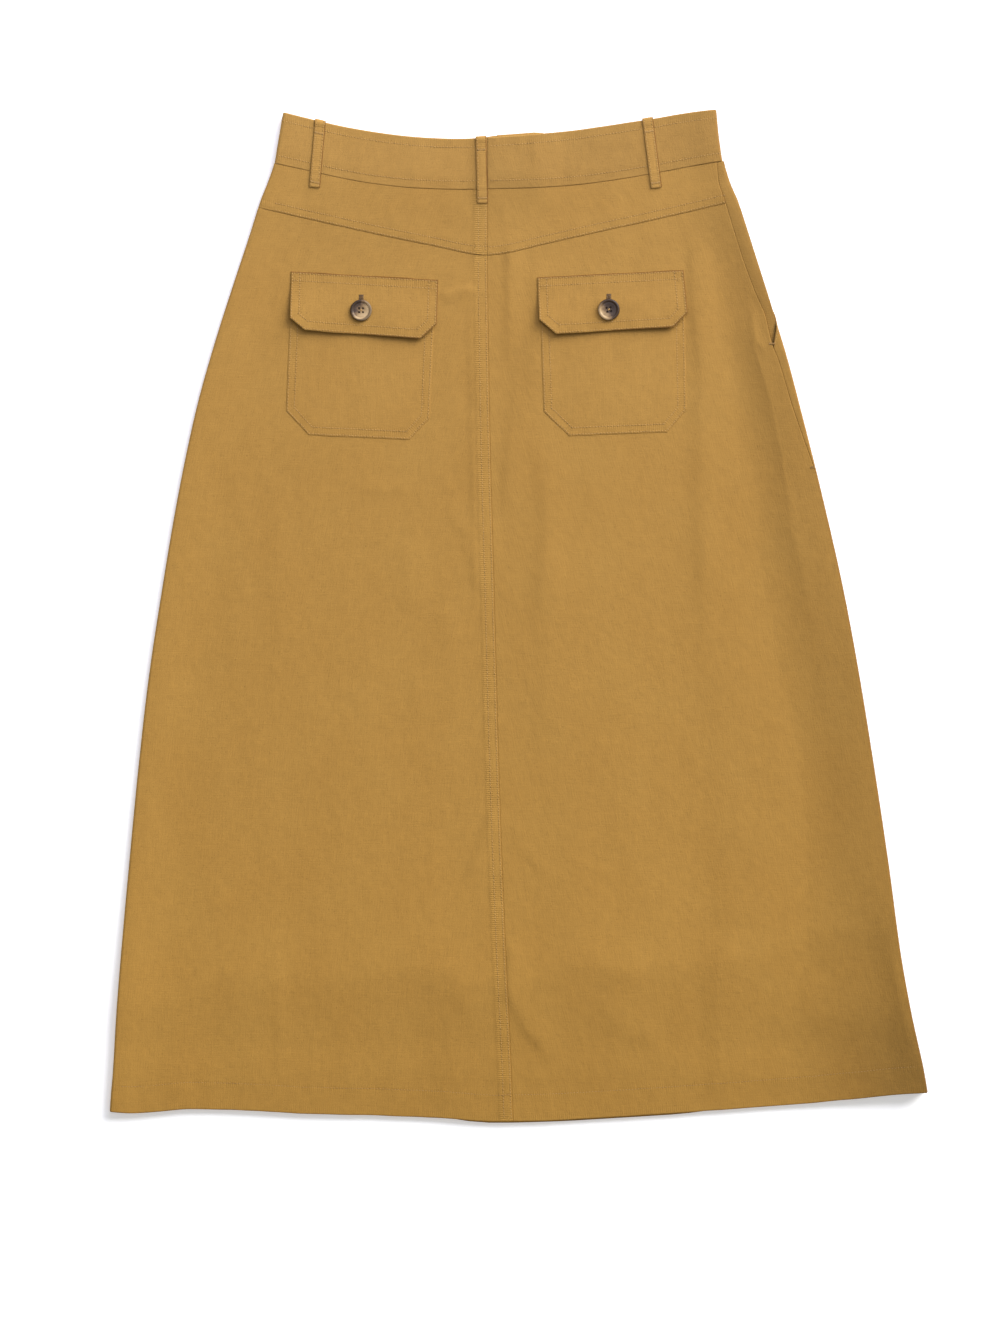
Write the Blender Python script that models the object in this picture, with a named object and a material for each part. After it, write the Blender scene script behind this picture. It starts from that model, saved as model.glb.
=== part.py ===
"""A-line midi skirt in cotton twill, lying flat on its front with its back up.

Lengths below are millimetres; the mesh is written in metres. +X is the wearer's right, +Y the waist,
+Z up. The surface it lies on is Z = 0.

The garment is a tube pressed flat. At every height Y it has a left and a right fold, a top layer (the
back of the skirt) and a bottom layer (the front). Every cut piece is a patch of that tube: its place
across the tube is a girth, counted from the fold it wraps round (plus on the top layer, minus on the
bottom layer), and its place along the tube is Y. A patch has an outer grid and an inner grid of
points, a wall apart, and is closed by a rim.
"""

import math

import bmesh
import bpy
import numpy as np

# ---------------------------------------------------------------- driving sizes (mm)
MM = 0.001
SEAM_GAP = 0.3          # clear space between two pieces at a seam
CLOTH = 1.1             # wall of a single panel, seam allowances pressed inside
HEM_WALL = 1.7          # wall where the hem is turned up
HEM_DEPTH = 24.0
BAND_WALL = 1.8         # waistband: outer cloth, stiffener and inner cloth
BAND_RAISE = 1.0        # the waistband stands proud of the panels by this
FLAP_WALL = 1.7
LOOP_WIDTH = 9.0
LOOP_WALL = 1.6
FOLD_RADIUS = 4.5       # half width of the rounded fold at each side
FELL_WIDTH = 11.0       # felled allowance left of the centre back seam
FELL_RAISE = 0.55
YOKE_RAISE = 0.8        # the yoke's pressed-up lower edge
BUTTON_DIAMETER = 18.0
BUTTON_WALL = 2.4
BUTTON_HOLE = 1.9
FACING_INSET = 1.7      # the pocket facing lies this far inside the front panel
TAB_END = 11.3          # X of the waistband tab's end, at centre front
UNDERLAP_END = -18.0    # X of the end of the band that the tab buttons over
TAB_LIFT = 2.1          # the overlap makes the band this much thicker

# ---------------------------------------------------------------- outline and seam tables (mm)
OUTLINE_COLUMNS = ("y", "left", "right")
OUTLINE = (
    (-430.0, -341.0, 343.8), (-412.0, -340.4, 342.2), (-378.8, -337.9, 337.1), (-328.8, -334.9, 326.4),
    (-278.8, -331.0, 317.4), (-203.8, -324.3, 307.4), (-128.8, -317.1, 296.4), (-53.8, -308.6, 284.4),
    (21.2, -297.3, 270.6), (96.2, -284.6, 253.8), (171.2, -268.9, 235.1), (221.2, -255.2, 221.8),
    (271.2, -239.4, 206.0), (321.2, -222.9, 190.2), (346.2, -214.9, 181.8), (362.0, -208.6, 175.0),
    (378.0, -203.4, 170.2), (397.9, -199.8, 166.8), (423.0, -195.6, 164.4),
)
TOP_EDGE_COLUMNS = ("x", "y")
TOP_EDGE = (
    (-215.0, 425.0), (-197.1, 419.6), (-173.8, 413.8), (-140.4, 406.4), (-107.1, 401.2), (-73.8, 398.0),
    (-50.0, 397.4), (-26.2, 398.2), (9.6, 400.6), (42.9, 404.0), (76.2, 408.6), (109.6, 413.8),
    (142.9, 419.0), (165.4, 421.4), (180.0, 422.4),
)
BAND_SEAM_COLUMNS = ("x", "y")
BAND_SEAM = (
    (-220.0, 380.6), (-202.9, 376.7), (-173.8, 370.4), (-148.8, 364.8), (-120.0, 359.8), (-86.2, 356.3),
    (-48.8, 355.1), (-26.2, 355.3), (13.8, 356.4), (51.2, 359.2), (76.2, 362.4), (101.2, 366.4),
    (126.2, 371.0), (151.2, 375.6), (169.6, 378.3), (185.0, 380.2),
)
YOKE_SEAM_COLUMNS = ("x", "y")
YOKE_SEAM = (
    (-230.0, 343.0), (-217.1, 340.0), (-188.8, 333.6), (-151.2, 325.2), (-113.8, 317.0), (-76.2, 309.4),
    (-26.2, 300.6), (23.8, 310.2), (61.2, 318.6), (98.8, 326.8), (136.2, 335.2), (170.4, 342.9),
    (190.0, 347.0),
)
HEM_COLUMNS = ("x", "y")
HEM = (
    (-342.0, -412.4), (-323.8, -413.8), (-300.0, -412.4), (-273.8, -410.4), (-240.4, -411.0),
    (-190.4, -413.6), (-107.1, -416.2), (-57.1, -418.2), (-20.0, -420.8), (26.2, -419.8), (76.2, -417.1),
    (142.9, -412.9), (209.6, -408.0), (276.2, -402.0), (300.0, -399.3), (343.0, -395.4),
)
CENTRE_BACK_COLUMNS = ("y", "x")
CENTRE_BACK = (
    (-430.0, -4.4), (-362.0, -7.0), (-304.0, -9.8), (-216.0, -13.6), (-129.0, -16.6), (-41.0, -19.0),
    (46.0, -21.3), (134.0, -23.7), (221.0, -25.3), (301.0, -26.2), (430.0, -26.2),
)
CENTRE_FRONT_COLUMNS = ("y", "x")
CENTRE_FRONT = ((-430.0, 5.0), (0.0, 0.5), (430.0, -4.0))
# Side seams as a girth from the fold: plus is on the top layer, minus has passed round the fold.
SIDE_SEAM_COLUMNS = ("y", "left", "right")
SIDE_SEAM = (
    (-430.0, -19.5, -11.8), (-200.0, -15.5, -9.8), (-60.0, -12.5, -7.3), (20.0, -11.5, -4.0),
    (75.0, -11.5, 0.0), (105.0, -11.5, 3.3), (125.0, -11.5, 5.7), (145.0, -11.5, 8.0),
    (161.0, -11.6, 9.6), (178.0, -11.8, 11.0), (213.0, -12.0, 12.3), (225.4, -12.2, 13.5),
    (244.6, -12.5, 12.4), (273.0, -12.8, 15.4), (302.0, -13.2, 16.3), (321.0, -13.5, 16.0),
    (343.0, -13.5, 15.3), (356.0, -13.5, 14.0), (380.0, -13.5, 9.3), (430.0, -13.5, 8.0),
)
BAND_SIDE_SEAM = {-1: -13.5, 1: -11.5}
# The slanted front pocket mouth, as the same girth.
MOUTH_COLUMNS = ("y", "left", "right")
MOUTH_FOOT = 224.0
MOUTH = ((224.0, -12.2, 13.4), (236.0, -14.8, 7.5), (249.6, -18.0, 0.5), (262.0, -21.0, -5.8),
         (280.0, -26.0, -14.5), (300.0, -31.0, -22.5), (345.0, -42.0, -37.0), (385.0, -52.0, -47.0))
MOUTH_UNDER = 11.0      # the facing runs on this far behind the mouth's edge
# The right side stands up towards its fold in a soft shelf: where its slope is, how far the slope
# reaches to each side, and its height.
SHELF_COLUMNS = ("y", "slope", "reach", "height")
SHELF = (
    (-430.0, 306.0, 36.0, 3.0), (-350.0, 303.0, 32.0, 3.2), (-285.0, 298.0, 26.0, 3.1),
    (-173.0, 281.0, 18.0, 3.0), (-62.0, 253.0, 16.0, 3.0), (49.0, 226.0, 16.0, 3.0),
    (160.0, 209.0, 14.0, 2.8), (232.0, 190.5, 14.0, 2.2), (327.0, 176.0, 10.0, 0.5),
    (350.0, 172.0, 10.0, 0.0),
)
FLAP_COLUMNS = ("corner", "left_x", "left_y", "right_x", "right_y")
FLAP = (
    ("top_left", -189.6, 287.1, 15.4, 282.1), ("side_left", -190.4, 248.3, 16.9, 246.6),
    ("cut_left", -178.3, 237.9, 31.0, 234.6), ("top_right", -67.1, 280.0, 137.1, 288.3),
    ("side_right", -68.3, 242.9, 140.4, 252.5), ("cut_right", -81.7, 230.7, 128.5, 240.4),
)
POCKET_COLUMNS = ("corner", "left_x", "left_y", "right_x", "right_y")
POCKET = (
    ("top_left", -189.4, 274.4, 17.4, 269.4), ("side_left", -193.8, 171.2, 20.7, 170.4),
    ("cut_left", -174.8, 150.8, 42.1, 150.0), ("top_right", -69.6, 267.2, 137.6, 275.2),
    ("side_right", -74.2, 164.6, 139.6, 171.7), ("cut_right", -90.8, 146.9, 123.8, 153.3),
)
BUTTON_COLUMNS = ("name", "x", "y")
FLAP_BUTTONS = (("left", -131.1, 254.4), ("right", 74.9, 254.9))
LOOP_COLUMNS = ("name", "top_x", "foot_x", "foot_y")
BACK_LOOPS = (("left", -165.0, -169.8, 356.8), ("centre", -31.4, -30.0, 343.6), ("right", 107.2, 114.6, 356.3))
FRONT_LOOPS = (("left", -100.0, -104.0, 347.0), ("right", 76.0, 79.0, 349.0))


# ---------------------------------------------------------------- curves
def column(table, columns, name):
    k = columns.index(name)
    return [row[k] for row in table]


def smooth_curve(xs, ys):
    """A monotone cubic through the points, flat beyond its ends."""
    xs, ys = np.asarray(xs, float), np.asarray(ys, float)
    step = np.diff(xs)
    slope = np.diff(ys) / step
    m = np.zeros(len(xs))
    for i in range(1, len(xs) - 1):
        if slope[i - 1] * slope[i] > 0:
            w1, w2 = 2 * step[i] + step[i - 1], step[i] + 2 * step[i - 1]
            m[i] = (w1 + w2) / (w1 / slope[i - 1] + w2 / slope[i])
    m[0], m[-1] = slope[0], slope[-1]

    def value(x):
        x = min(max(x, xs[0]), xs[-1])
        i = min(int(np.searchsorted(xs, x, side="right")) - 1, len(step) - 1)
        i = max(i, 0)
        t = (x - xs[i]) / step[i]
        return float((2 * t**3 - 3 * t**2 + 1) * ys[i] + (t**3 - 2 * t**2 + t) * step[i] * m[i]
                     + (3 * t**2 - 2 * t**3) * ys[i + 1] + (t**3 - t**2) * step[i] * m[i + 1])
    return value


def from_table(table, columns, across, along):
    return smooth_curve(column(table, columns, across), column(table, columns, along))


def ease(a, b, x):
    """0 at a, 1 at b, smooth between."""
    t = min(max((x - a) / (b - a), 0.0), 1.0)
    return t * t * (3 - 2 * t)


outline_left = from_table(OUTLINE, OUTLINE_COLUMNS, "y", "left")
outline_right = from_table(OUTLINE, OUTLINE_COLUMNS, "y", "right")
top_edge = from_table(TOP_EDGE, TOP_EDGE_COLUMNS, "x", "y")
band_seam = from_table(BAND_SEAM, BAND_SEAM_COLUMNS, "x", "y")
yoke_seam = from_table(YOKE_SEAM, YOKE_SEAM_COLUMNS, "x", "y")
hem = from_table(HEM, HEM_COLUMNS, "x", "y")
centre_back = from_table(CENTRE_BACK, CENTRE_BACK_COLUMNS, "y", "x")
centre_front = from_table(CENTRE_FRONT, CENTRE_FRONT_COLUMNS, "y", "x")
side_seam = {-1: from_table(SIDE_SEAM, SIDE_SEAM_COLUMNS, "y", "left"),
             1: from_table(SIDE_SEAM, SIDE_SEAM_COLUMNS, "y", "right")}
mouth = {-1: from_table(MOUTH, MOUTH_COLUMNS, "y", "left"), 1: from_table(MOUTH, MOUTH_COLUMNS, "y", "right")}
shelf_slope = from_table(SHELF, SHELF_COLUMNS, "y", "slope")
shelf_reach = from_table(SHELF, SHELF_COLUMNS, "y", "reach")
shelf_height = from_table(SHELF, SHELF_COLUMNS, "y", "height")


# ---------------------------------------------------------------- the flattened tube
class Tube:
    """Folds and layer heights of the flattened tube, its outline drawn in by `inset` at the sides."""

    def __init__(self, inset_left, inset_right):
        self.inset_left, self.inset_right = inset_left, inset_right

    def fold(self, side, y):
        return (outline_left(y) + self.inset_left(y)) if side < 0 else (outline_right(y) - self.inset_right(y))

    def bottom(self, x, y):
        """Height of the front's outer face: on the surface, lifted at the waist by what lies under it."""
        near_fold = 1 - ease(56, 86, min(x - self.fold(-1, y), self.fold(1, y) - x))
        return ease(296, 366, y) * (3.6 - 1.6 * near_fold)

    def top(self, x, y):
        """Height of the back's outer face."""
        from_left, from_right = x - self.fold(-1, y), self.fold(1, y) - x
        waist = ease(290, 368, y)
        z = 3.4 + 0.9 * ease(40, 240, y) + 2.1 * waist
        z += 0.9 * ease(-404, -340, y) * math.exp(-((x - 60) / 70) ** 2) * (1 - waist)
        z += 0.9 * ease(-350, -386, y)
        z += (2.6 - 1.4 * waist) * math.exp(-(max(from_left - FOLD_RADIUS, 0) / 22) ** 2)
        z += (1.0 + 1.0 * ease(235, 300, y)) * math.exp(-(max(from_right - FOLD_RADIUS, 0) / 20) ** 2)
        slope, reach = shelf_slope(y), shelf_reach(y)
        z += shelf_height(y) * ease(slope - reach, slope + reach, x)
        z += 0.9 * ease(-404, -300, y) * (1 - ease(-280, -180, y))
        z += TAB_LIFT * ease(330, 372, y) * ease(-44, -19, x) * (1 - ease(13, 40, x))
        return z

    def quarter(self, side, y):
        """Height of the fold's middle, its half height, and the length of a quarter turn."""
        x = self.fold(side, y) - side * FOLD_RADIUS
        high, low = self.top(x, y), self.bottom(x, y)
        half = (high - low) / 2
        a, b = FOLD_RADIUS, half
        return (high + low) / 2, half, math.pi * (3 * (a + b) - math.sqrt((3 * a + b) * (a + 3 * b))) / 4

    def girth(self, side, distance, y):
        """Girth of a point seen `distance` in from the fold: minus for one on the bottom layer."""
        q = self.quarter(side, y)[2]
        d = abs(distance)
        g = q + d - FOLD_RADIUS if d >= FOLD_RADIUS else q * math.acos(1 - d / FOLD_RADIUS) / (math.pi / 2)
        return math.copysign(g, distance) if distance else 0.0

    def point(self, side, g, y, out):
        """The point at girth g, `out` beyond the tube's outer face (minus is inward)."""
        middle, half, q = self.quarter(side, y)
        fold = self.fold(side, y)
        if abs(g) <= q:
            turn = g / q * math.pi / 2
            return (fold - side * FOLD_RADIUS + side * (FOLD_RADIUS + out) * math.cos(turn), y,
                    middle + (half + out) * math.sin(turn))
        x = fold - side * (FOLD_RADIUS + abs(g) - q)
        return (x, y, self.top(x, y) + out) if g > 0 else (x, y, self.bottom(x, y) - out)


# The right side of the body is drawn out a little above the pocket mouth, because the facing that
# shows there lies inside the front panel. The waistband is drawn in by what it stands proud.
BODY = Tube(lambda y: 0.0, lambda y: -1.3 * ease(238, 256, y))
BAND = Tube(lambda y: BAND_RAISE, lambda y: BAND_RAISE)


# ---------------------------------------------------------------- solids
def material(name, colour, roughness):
    m = bpy.data.materials.new(name)
    m.use_nodes = True
    shader = next(n for n in m.node_tree.nodes if n.type == "BSDF_PRINCIPLED")
    shader.inputs["Base Color"].default_value = (*colour, 1.0)
    shader.inputs["Roughness"].default_value = roughness
    shader.inputs["Metallic"].default_value = 0.0
    return m


def add_object(name, bm, colour, roughness=0.85, smooth=True):
    bmesh.ops.recalc_face_normals(bm, faces=bm.faces)
    if bm.calc_volume(signed=True) < 0:
        bmesh.ops.reverse_faces(bm, faces=bm.faces)
    bmesh.ops.triangulate(bm, faces=bm.faces)
    mesh = bpy.data.meshes.new(name)
    bm.to_mesh(mesh)
    bm.free()
    mesh.materials.append(material(name, colour, roughness))
    obj = bpy.data.objects.new(name, mesh)
    bpy.context.scene.collection.objects.link(obj)
    if smooth:
        mesh.shade_smooth()
        mesh.set_sharp_from_angle(angle=math.radians(35))
    return obj


def walled_grid(name, outer, inner, colour):
    """Closes two matching grids of points into one body with a rim."""
    rows, cols = len(outer), len(outer[0])
    bm = bmesh.new()
    a = [[bm.verts.new([c * MM for c in p]) for p in row] for row in outer]
    b = [[bm.verts.new([c * MM for c in p]) for p in row] for row in inner]
    for i in range(rows - 1):
        for j in range(cols - 1):
            bm.faces.new((a[i][j], a[i][j + 1], a[i + 1][j + 1], a[i + 1][j]))
            bm.faces.new((b[i][j], b[i + 1][j], b[i + 1][j + 1], b[i][j + 1]))
    edge = ([(0, j) for j in range(cols)] + [(i, cols - 1) for i in range(1, rows)]
            + [(rows - 1, j) for j in range(cols - 2, -1, -1)] + [(i, 0) for i in range(rows - 2, 0, -1)])
    for (i, j), (k, l) in zip(edge, edge[1:] + edge[:1]):
        bm.faces.new((a[i][j], b[i][j], b[k][l], a[k][l]))
    return add_object(name, bm, colour)


def spread(length, near_start, near_end, middle):
    """Distances from 0 to length: fixed steps at both ends and `middle` equal ones between."""
    a, b = near_start[-1], length - near_end[-1]
    return list(near_start) + [a + (b - a) * (k + 1) / middle for k in range(middle - 1)] + \
        [length - d for d in reversed(near_end)]


def edge_height(tube, side, edge, line, y):
    """Height at which a piece's side edge meets a line across the tube."""
    for _ in range(8):
        y = line(tube.point(side, edge(y), y, 0.0)[0])
    return y


def patch(name, tube, side, start, end, low, high, cols, levels, colour, raised=lambda x, y, g: 0.0,
          wall=lambda x, y: CLOTH, level_edge="end"):
    """A cut piece. start and end give its side edges as a girth for a height; low and high give its
    lower and upper edges as a height for an X. cols is (near_start, near_end, middle). levels places
    the rows: ("low", d) and ("high", d) run beside those edges, and ("at", y) meets the side edge
    named by level_edge at that height, so that two pieces share their rows along a seam."""
    edge = end if level_edge == "end" else start
    edge_low, edge_high = edge_height(tube, side, edge, low, -400.0), edge_height(tube, side, edge, high, 380.0)

    def height(k, x):
        kind, v = levels[k]
        lo, hi = low(x), high(x)
        if kind == "low":
            return lo + v
        if kind == "high":
            return hi - v
        return lo + (v - edge_low) / (edge_high - edge_low) * (hi - lo)

    def place(k, j, y):
        x = 0.0
        for _ in range(7):
            s, e = start(y), end(y)
            ds = spread(abs(e - s), *cols)
            g = s + math.copysign(ds[j], e - s)
            out = raised(x, y, g)
            x = tube.point(side, g, y, out - wall(x, y) / 2)[0]
            y = height(k, x)
        return g, x, y

    count_c = len(cols[0]) + cols[2] - 1 + len(cols[1])
    outer, inner = [], []
    for k in range(len(levels)):
        outer.append([])
        inner.append([])
        for j in range(count_c):
            g, x, y = place(k, j, height(k, 0.0))
            out = raised(x, y, g)
            outer[-1].append(tube.point(side, g, y, out))
            inner[-1].append(tube.point(side, g, y, out - wall(x, y)))
    return walled_grid(name, outer, inner, colour)


def ladder(name, left, right, levels, across, under, over, colour):
    """A piece that lies on the back: rungs from a left to a right edge line, `levels` along them.
    under and over give the heights of its faces."""
    rungs = []
    for seg, steps in levels:
        for t in steps:
            rungs.append(tuple(tuple(e[seg][c] + (e[seg + 1][c] - e[seg][c]) * t for c in (0, 1))
                               for e in (left, right)))
    outer, inner = [], []
    for k, (p, q) in enumerate(rungs):
        pts = [(p[0] + (q[0] - p[0]) * f, p[1] + (q[1] - p[1]) * f, f) for f in across]
        outer.append([(x, y, over(x, y, k, f)) for x, y, f in pts])
        inner.append([(x, y, under(x, y, k, f)) for x, y, f in pts])
    return walled_grid(name, outer, inner, colour)


def corners(table, columns, which):
    got = {row[0]: (row[columns.index(which + "_x")], row[columns.index(which + "_y")]) for row in table}
    return ([got["top_left"], got["side_left"], got["cut_left"]],
            [got["top_right"], got["side_right"], got["cut_right"]])


# ---------------------------------------------------------------- start
for old in list(bpy.data.objects):
    bpy.data.objects.remove(old, do_unlink=True)

TAN = (0.43, 0.25, 0.075)
TAN_BAND = (0.45, 0.265, 0.085)
TAN_INSIDE = (0.37, 0.21, 0.065)
HORN = (0.13, 0.07, 0.035)
HALF_GAP = SEAM_GAP / 2


def line_girth(tube, side, line, shift=0.0):
    """Girth of a centre line on the top layer; shift moves it in +X."""
    return lambda y: tube.girth(side, side * (tube.fold(side, y) - (line(y) + shift)), y)


def under_girth(tube, side, line, shift=0.0):
    return lambda y: -tube.girth(side, side * (tube.fold(side, y) - (line(y) + shift)), y)


def panel_wall(edge):
    return lambda x, y: CLOTH + (HEM_WALL - CLOTH) * (1 - ease(HEM_DEPTH - 1, HEM_DEPTH + 1.5, y - edge(x)))


def front_hem(x):
    return hem(x) - 1.3 * ease(-60, -42, x) * (1 - ease(133, 160, x))


# Steps of the columns near a side seam: close together, because they turn round the fold.
AT_SIDE = {-1: (0.0, 5.0, 9.5, 12.0, 14.5, 17.0, 19.5, 24.0, 32.0),
           1: (0.0, 2.4, 4.8, 7.2, 9.6, 12.2, 15.5, 22.0, 31.0, 42.0, 54.0)}
# Rows along each side seam, shared by the pieces on both sides of it.
SEAM_LEVELS = {-1: (-320.0, -240.0, -160.0, -80.0, 0.0, 80.0, 150.0, 195.0, 216.0, 224.0),
               1: (-320.0, -250.0, -180.0, -110.0, -40.0, 20.0, 55.0, 85.0, 107.0, 127.0, 148.0, 170.0, 194.0,
                   216.0, 224.0)}
MOUTH_LEVELS = {-1: (240.0, 258.0, 280.0, 303.0, 325.0),
                1: (230.0, 236.0, 241.0, 246.0, 251.0, 257.0, 264.0, 280.0, 301.0, 323.0)}
FELL_STEPS = (0.0, FELL_WIDTH, FELL_WIDTH + 1.5)
HEM_ROWS = [("low", 0.0), ("low", HEM_DEPTH - 1), ("low", HEM_DEPTH + 1.5)]


def at(*heights):
    return [("at", y) for y in heights]


def side_edge(side, shift):
    return lambda y: side_seam[side](y) + shift


def panel_rows(side):
    return HEM_ROWS + at(*SEAM_LEVELS[side], *MOUTH_LEVELS[side]) + [("high", 0.0)]


# Back panels. The left one carries the felled allowance beside the centre back seam.
patch("back_panel_left", BODY, -1, line_girth(BODY, -1, centre_back, -HALF_GAP), side_edge(-1, HALF_GAP),
      hem, lambda x: yoke_seam(x) - HALF_GAP,
      (FELL_STEPS, AT_SIDE[-1], 7), panel_rows(-1), TAN,
      raised=lambda x, y, g: FELL_RAISE * (1 - ease(FELL_WIDTH, FELL_WIDTH + 1.5, centre_back(y) - x)),
      wall=panel_wall(hem))
patch("back_panel_right", BODY, 1, line_girth(BODY, 1, centre_back, HALF_GAP), side_edge(1, HALF_GAP),
      hem, lambda x: yoke_seam(x) - HALF_GAP, ((0.0,), AT_SIDE[1], 7), panel_rows(1), TAN,
      wall=panel_wall(hem))


# Back yokes, pressed up along their lower edge.
def yoke_raise(x, y, g):
    return YOKE_RAISE * (1 - ease(6.0, 12.0, y - yoke_seam(x))) * (1 - ease(5, 12, max(0.0, 14 - abs(g))))


def yoke_foot(x):
    return yoke_seam(x) + HALF_GAP


def band_foot(x):
    return band_seam(x) - HALF_GAP


YOKE_LEVELS = {side: [edge_height(BODY, side, side_edge(side, HALF_GAP), yoke_foot, 340.0) + d
                      for d in (0.0, 6.0, 12.0, 22.0)] for side in (-1, 1)}
for side, word, near, middle in ((-1, "left", FELL_STEPS, 7), (1, "right", (0.0,), 7)):
    patch("back_yoke_" + word, BODY, side, line_girth(BODY, side, centre_back, side * HALF_GAP),
          side_edge(side, HALF_GAP), yoke_foot, band_foot, (near, AT_SIDE[side], middle),
          [("low", 0.0), ("low", 6.0), ("low", 12.0), ("high", 12.0), ("high", 0.0)], TAN, raised=yoke_raise)

# Waistband, back halves: from centre back round each fold to the side seam underneath.
for side, word, near, middle in ((-1, "left", (0.0, 5.0, 10.0, 18.0), 7), (1, "right", (0.0,), 9)):
    patch("back_waistband_" + word, BAND, side, line_girth(BAND, side, centre_back, side * HALF_GAP),
          lambda y, s=side: BAND_SIDE_SEAM[s] + HALF_GAP, lambda x: band_seam(x) + HALF_GAP, top_edge,
          (near, AT_SIDE[-1], middle), [("low", 0.0), ("low", 14.0), ("high", 14.0), ("high", 0.0)], TAN_BAND,
          raised=lambda x, y, g: BAND_RAISE, wall=lambda x, y: BAND_WALL)


# Waistband, front halves: the left one ends in the tab, the right one runs on above it.
def front_top(x):
    inner = min(x - BAND.fold(-1, 415), BAND.fold(1, 415) - x)
    return top_edge(x) - 1.0 * ease(14, 40, inner) + 2.7 * ease(-40, -18, x) * (1 - ease(12, 30, x))


BAND_ROWS = [("low", 0.0), ("low", 14.0), ("high", 14.0), ("high", 0.0)]
patch("front_waistband_left", BAND, -1, lambda y: BAND_SIDE_SEAM[-1] - HALF_GAP,
      under_girth(BAND, -1, lambda y: TAB_END), lambda x: band_seam(x) + HALF_GAP, front_top,
      ((0.0, 14.0), (0.0, 14.0, 28.0, 44.0), 7), BAND_ROWS, TAN_BAND,
      raised=lambda x, y, g: BAND_RAISE, wall=lambda x, y: BAND_WALL)
patch("front_waistband_right", BAND, 1, lambda y: BAND_SIDE_SEAM[1] - HALF_GAP,
      under_girth(BAND, 1, lambda y: UNDERLAP_END), lambda x: band_seam(x) + HALF_GAP, front_top,
      ((0.0, 14.0), (0.0, 15.0, 30.0, 36.0, 42.0, 48.0), 6), BAND_ROWS, TAN_BAND,
      raised=lambda x, y, g: BAND_RAISE - TAB_LIFT * (1 - ease(13.5, 29.0, x)), wall=lambda x, y: BAND_WALL)


# Front panels: edge at the side seam up to the pocket mouth's foot, then along the mouth.
def front_edge(side):
    return lambda y: (side_seam[side](y) if y <= MOUTH_FOOT else mouth[side](y)) - HALF_GAP


for side, word, near in ((-1, "left", (0.0, 12.0)), (1, "right", AT_SIDE[1])):
    patch("front_panel_" + word, BODY, side, under_girth(BODY, side, centre_front, side * HALF_GAP),
          front_edge(side), front_hem, band_foot, ((0.0,), near, 4 if side > 0 else 5),
          panel_rows(side)[:-1] + at(345.0, 362.0) + [("high", 0.0)], TAN, wall=panel_wall(front_hem))


# Pocket facings: from the side seam round the fold, and on behind the mouth's edge. They lie inside
# the front panel and come up to the side seam's level at the back.
def facing_end(side):
    return lambda y: mouth[side](max(y, MOUTH_FOOT)) - MOUTH_UNDER


def facing_raise(side):
    def out(x, y, g):
        near_seam = 1 - ease(0.5, 7.0, side_seam[side](y) - g)
        return -FACING_INSET + (FACING_INSET - 0.3) * near_seam * ease(MOUTH_FOOT + 8, MOUTH_FOOT + 40, y)
    return out


for side, word, near in ((-1, "left", (0.0, 6.0)), (1, "right", (0.0, 2.4, 4.8, 7.2, 9.6, 12.0))):
    patch("front_pocket_facing_" + word, BODY, side, side_edge(side, -HALF_GAP), facing_end(side),
          lambda x: MOUTH_FOOT - 8.0, band_foot, (near, (0.0,), 5),
          at(MOUTH_FOOT - 8.0, MOUTH_FOOT, *MOUTH_LEVELS[side], *YOKE_LEVELS[side]) + [("high", 0.0)],
          TAN_INSIDE, raised=facing_raise(side), level_edge="start")

# Patch pockets, flaps and buttons, made from the panel's points moved out.
ACROSS = (0.0, 0.06, 0.2, 0.36, 0.5, 0.64, 0.8, 0.94, 1.0)
LIE = 0.35              # clear height between a piece and the cloth it lies on


def on_back(x, y):
    return BODY.top(x, y)


for word in ("left", "right"):
    left, right = corners(POCKET, POCKET_COLUMNS, word)
    ladder("back_pocket_" + word, left, right,
           ((0, (0.0, 0.2, 0.45, 0.7, 1.0)), (1, (0.5, 1.0))), ACROSS,
           lambda x, y, k, f: on_back(x, y) + LIE, lambda x, y, k, f: on_back(x, y) + LIE + CLOTH, TAN)

FLAP_LEVELS = ((0, (0.0, 0.18, 0.34, 0.5, 0.75, 1.0)), (1, (0.5, 1.0)))
FLAP_DOWN = (0.0, 7.0, 13.0, 19.0, 28.0, 38.0, 43.0, 49.0)


def flap_under(x, y, k, f):
    """The flap leaves the panel at its top seam, climbs on to the pocket and lifts at its corners."""
    down = FLAP_DOWN[k]
    lift = ease(12, 49, down)
    away = abs(2 * f - 1)
    return on_back(x, y) + LIE + (CLOTH + 0.35) * ease(0, 12, down) + lift * (1.1 + 3.0 * away**2)


for word in ("left", "right"):
    left, right = corners(FLAP, FLAP_COLUMNS, word)
    ladder("back_flap_" + word, left, right, FLAP_LEVELS, ACROSS, flap_under,
           lambda x, y, k, f: flap_under(x, y, k, f) + FLAP_WALL, TAN)


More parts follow.
